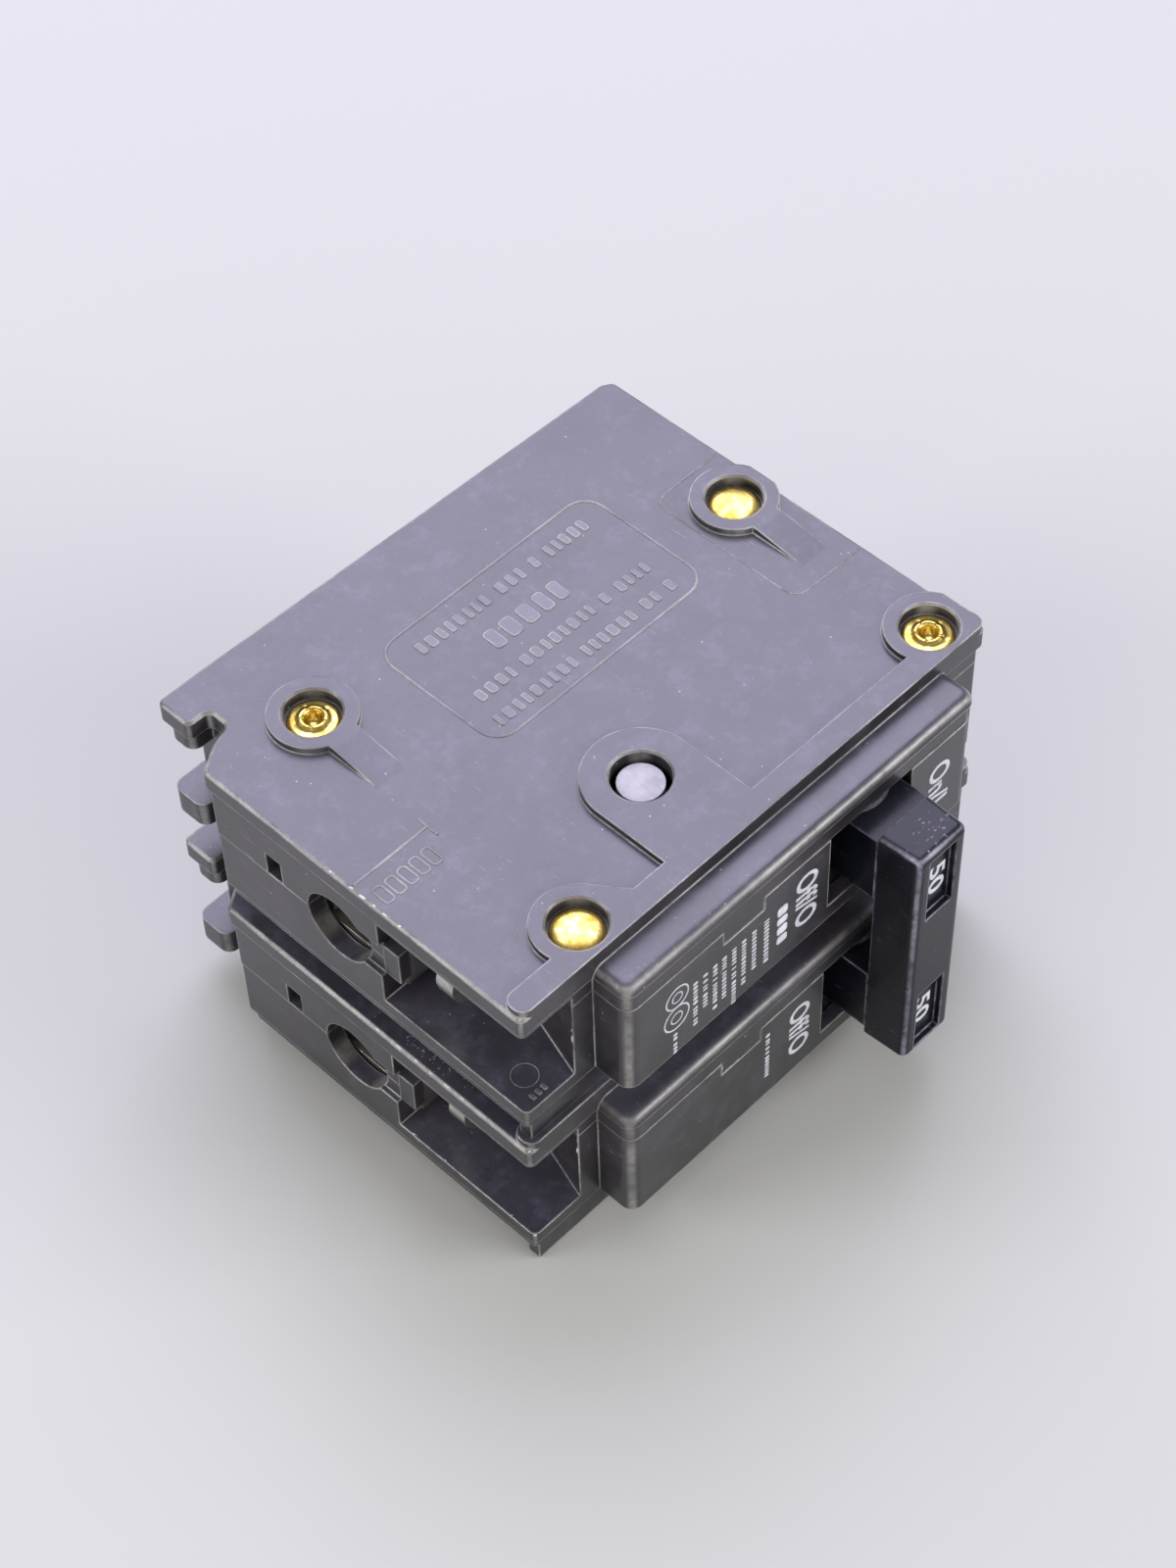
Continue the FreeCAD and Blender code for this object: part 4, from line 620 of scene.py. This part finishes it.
print("chips and grit")
wear = {
    # pole, x, y, z and half sizes: where edges have broken pale, and in the last two, bars of painted
    # highlight
    "chipsAndHighlight": [
        ("a", 0.30, 18.6, -1.10, 0.22, 0.35, 0.14), ("a", 0.28, 20.9, -1.12, 0.2, 0.5, 0.14),
        ("a", 0.30, 22.6, -1.10, 0.24, 0.3, 0.14), ("a", 0.28, 24.4, -1.10, 0.3, 0.7, 0.15),
        ("a", 0.28, 26.2, -1.10, 0.24, 0.4, 0.14), ("a", 0.26, 29.4, -1.10, 0.2, 0.3, 0.14),
        ("b", 0.30, 10.8, -1.08, 0.24, 0.5, 0.16), ("b", 0.28, 13.2, -1.10, 0.22, 0.8, 0.15),
        ("b", 0.30, 15.9, -1.10, 0.26, 0.6, 0.15), ("b", 0.30, 18.3, -1.08, 0.3, 0.4, 0.16),
        ("b", 0.28, 21.0, -1.10, 0.22, 0.7, 0.14), ("b", 0.28, 24.6, -1.10, 0.24, 0.5, 0.15),
        ("b", 0.28, 27.9, -1.10, 0.26, 0.4, 0.15), ("b", 0.55, 0.5, -1.15, 0.3, 0.3, 0.2),
        ("a", 0.50, 0.5, -1.20, 0.3, 0.25, 0.2), ("a", 0.40, 49.6, -1.25, 0.25, 0.3, 0.25),
        ("a", 0.60, 16.6, -19.35, 0.18, 0.8, 0.18), ("a", 0.60, 8.4, -19.35, 0.15, 0.4, 0.15),
        ("b", 0.62, 15.4, -19.35, 0.2, 0.5, 0.2), ("b", 0.62, 9.2, -19.35, 0.22, 0.9, 0.2),
        ("b", 0.62, 4.6, -19.35, 0.2, 0.6, 0.2), ("b", 0.60, 0.6, -19.35, 0.2, 0.3, 0.2),
        ("b", 0.60, 20.6, -19.30, 0.2, 0.7, 0.2), ("a", 7.70, 0.35, -12.2, 0.12, 0.12, 0.7),
        ("b", 7.70, 0.35, -9.0, 0.14, 0.12, 0.9), ("a", 75.6, 0.5, -1.15, 0.3, 0.3, 0.2),
        # these two pale bars forming an L on the lower pole's front are a painted highlight, not a break
        ("b", 30.2, -4.82, -8.75, 1.0, 0.04, 0.1), ("b", 26.5, -4.82, -7.6, 0.1, 0.04, 0.8),
    ],
    "grit": {"count": 90, "x": (1.0, 3.8), "y": (9.0, 27.0), "size": (0.05, 0.2)},
    "scuffs": {"count": 40, "x": (49.2, 55.6), "y": (-13.7, -9.2), "size": (0.08, 0.42)},
}


def lump(shape, centre, halves, dice, pole="a"):
    x, y, z = centre
    corners = []
    for _ in range(16):
        turn = Vector((dice.gauss(0, 1), dice.gauss(0, 1), dice.gauss(0, 1))).normalized()
        reach = dice.uniform(0.7, 1.0)
        spot = [c + t * h * reach for c, t, h in zip((x, y, z), turn, halves)]
        corners.append(shape.verts.new(place(*spot, pole)))
    hull = bmesh.ops.convex_hull(shape, input=corners)
    loose = [v for v in hull["geom_interior"] + hull["geom_unused"] if isinstance(v, bmesh.types.BMVert)]
    bmesh.ops.delete(shape, geom=list(set(loose)), context="VERTS")


def addWear():
    dice = random.Random(23)
    shape = bmesh.new()
    for pole, x, y, z, halfX, halfY, halfZ in wear["chipsAndHighlight"]:
        lump(shape, (x, y, z), (halfX, halfY, halfZ), dice, pole)
        for _ in range(dice.randrange(4)):
            share = dice.uniform(0.25, 0.6)
            shift = dice.uniform(-2.2, 2.2)
            if halfY >= halfZ and halfY >= halfX:
                along = (0, 1, 0)
            else:
                along = (0, 0, 1) if halfZ >= halfX else (1, 0, 0)
            spot = [c + shift * a for c, a in zip((x, y, z), along)]
            if spot[1] > 0.3 or y < 0:
                lump(shape, spot, [h * share for h in (halfX, halfY, halfZ)], dice, pole)
    addPiece("edgeChipsAndHighlight", finished(shape, "edgeChipsAndHighlight"), "paleDebrisAndHighlight", "housing")
    grit = wear["grit"]
    shape = bmesh.new()
    for _ in range(grit["count"]):
        half = dice.uniform(*grit["size"]) / 2
        lump(shape, (dice.uniform(*grit["x"]), dice.triangular(*grit["y"], 16.0), -1.0 + half * 0.6),
             (half, half * dice.uniform(0.6, 1.4), half * 0.8), dice, "b")
    addPiece("grooveGrit", finished(shape, "grooveGrit"), "paleDebrisAndHighlight", "housing")
    scuffs = wear["scuffs"]
    shape = bmesh.new()
    for _ in range(scuffs["count"]):
        size = dice.uniform(*scuffs["size"])
        x = min(max(dice.gauss(53.0, 1.6), scuffs["x"][0]), scuffs["x"][1])
        y = min(max(dice.gauss(-12.0, 1.2), scuffs["y"][0]), scuffs["y"][1])
        lump(shape, (x, y, -6.71), (size, size * dice.uniform(0.2, 0.7), 0.05), dice)
    addPiece("tieScuffs", finished(shape, "tieScuffs"), "scuffedNylon", "handles")


addWear()

floorLook = {"size": 12.0, "under": 0.0002, "colour": "#b9bab8", "rough": 0.9}  # matt pale card


def addFloor():
    mesh = bpy.data.meshes.new("floor")
    shape = bmesh.new()
    bmesh.ops.create_grid(shape, x_segments=2, y_segments=2, size=floorLook["size"])
    shape.to_mesh(mesh)
    shape.free()
    floor = bpy.data.objects.new("floor", mesh)
    floor.location.z = -floorLook["under"]
    bpy.context.scene.collection.objects.link(floor)
    material, tree = blank("paleFloor")
    shader = addNode(tree, "BsdfPrincipled", sockets={
        "Base Color": toLinear(floorLook["colour"]), "Roughness": floorLook["rough"]})
    addNode(tree, "OutputMaterial", shader.outputs[0])
    mesh.materials.append(material)


addFloor()
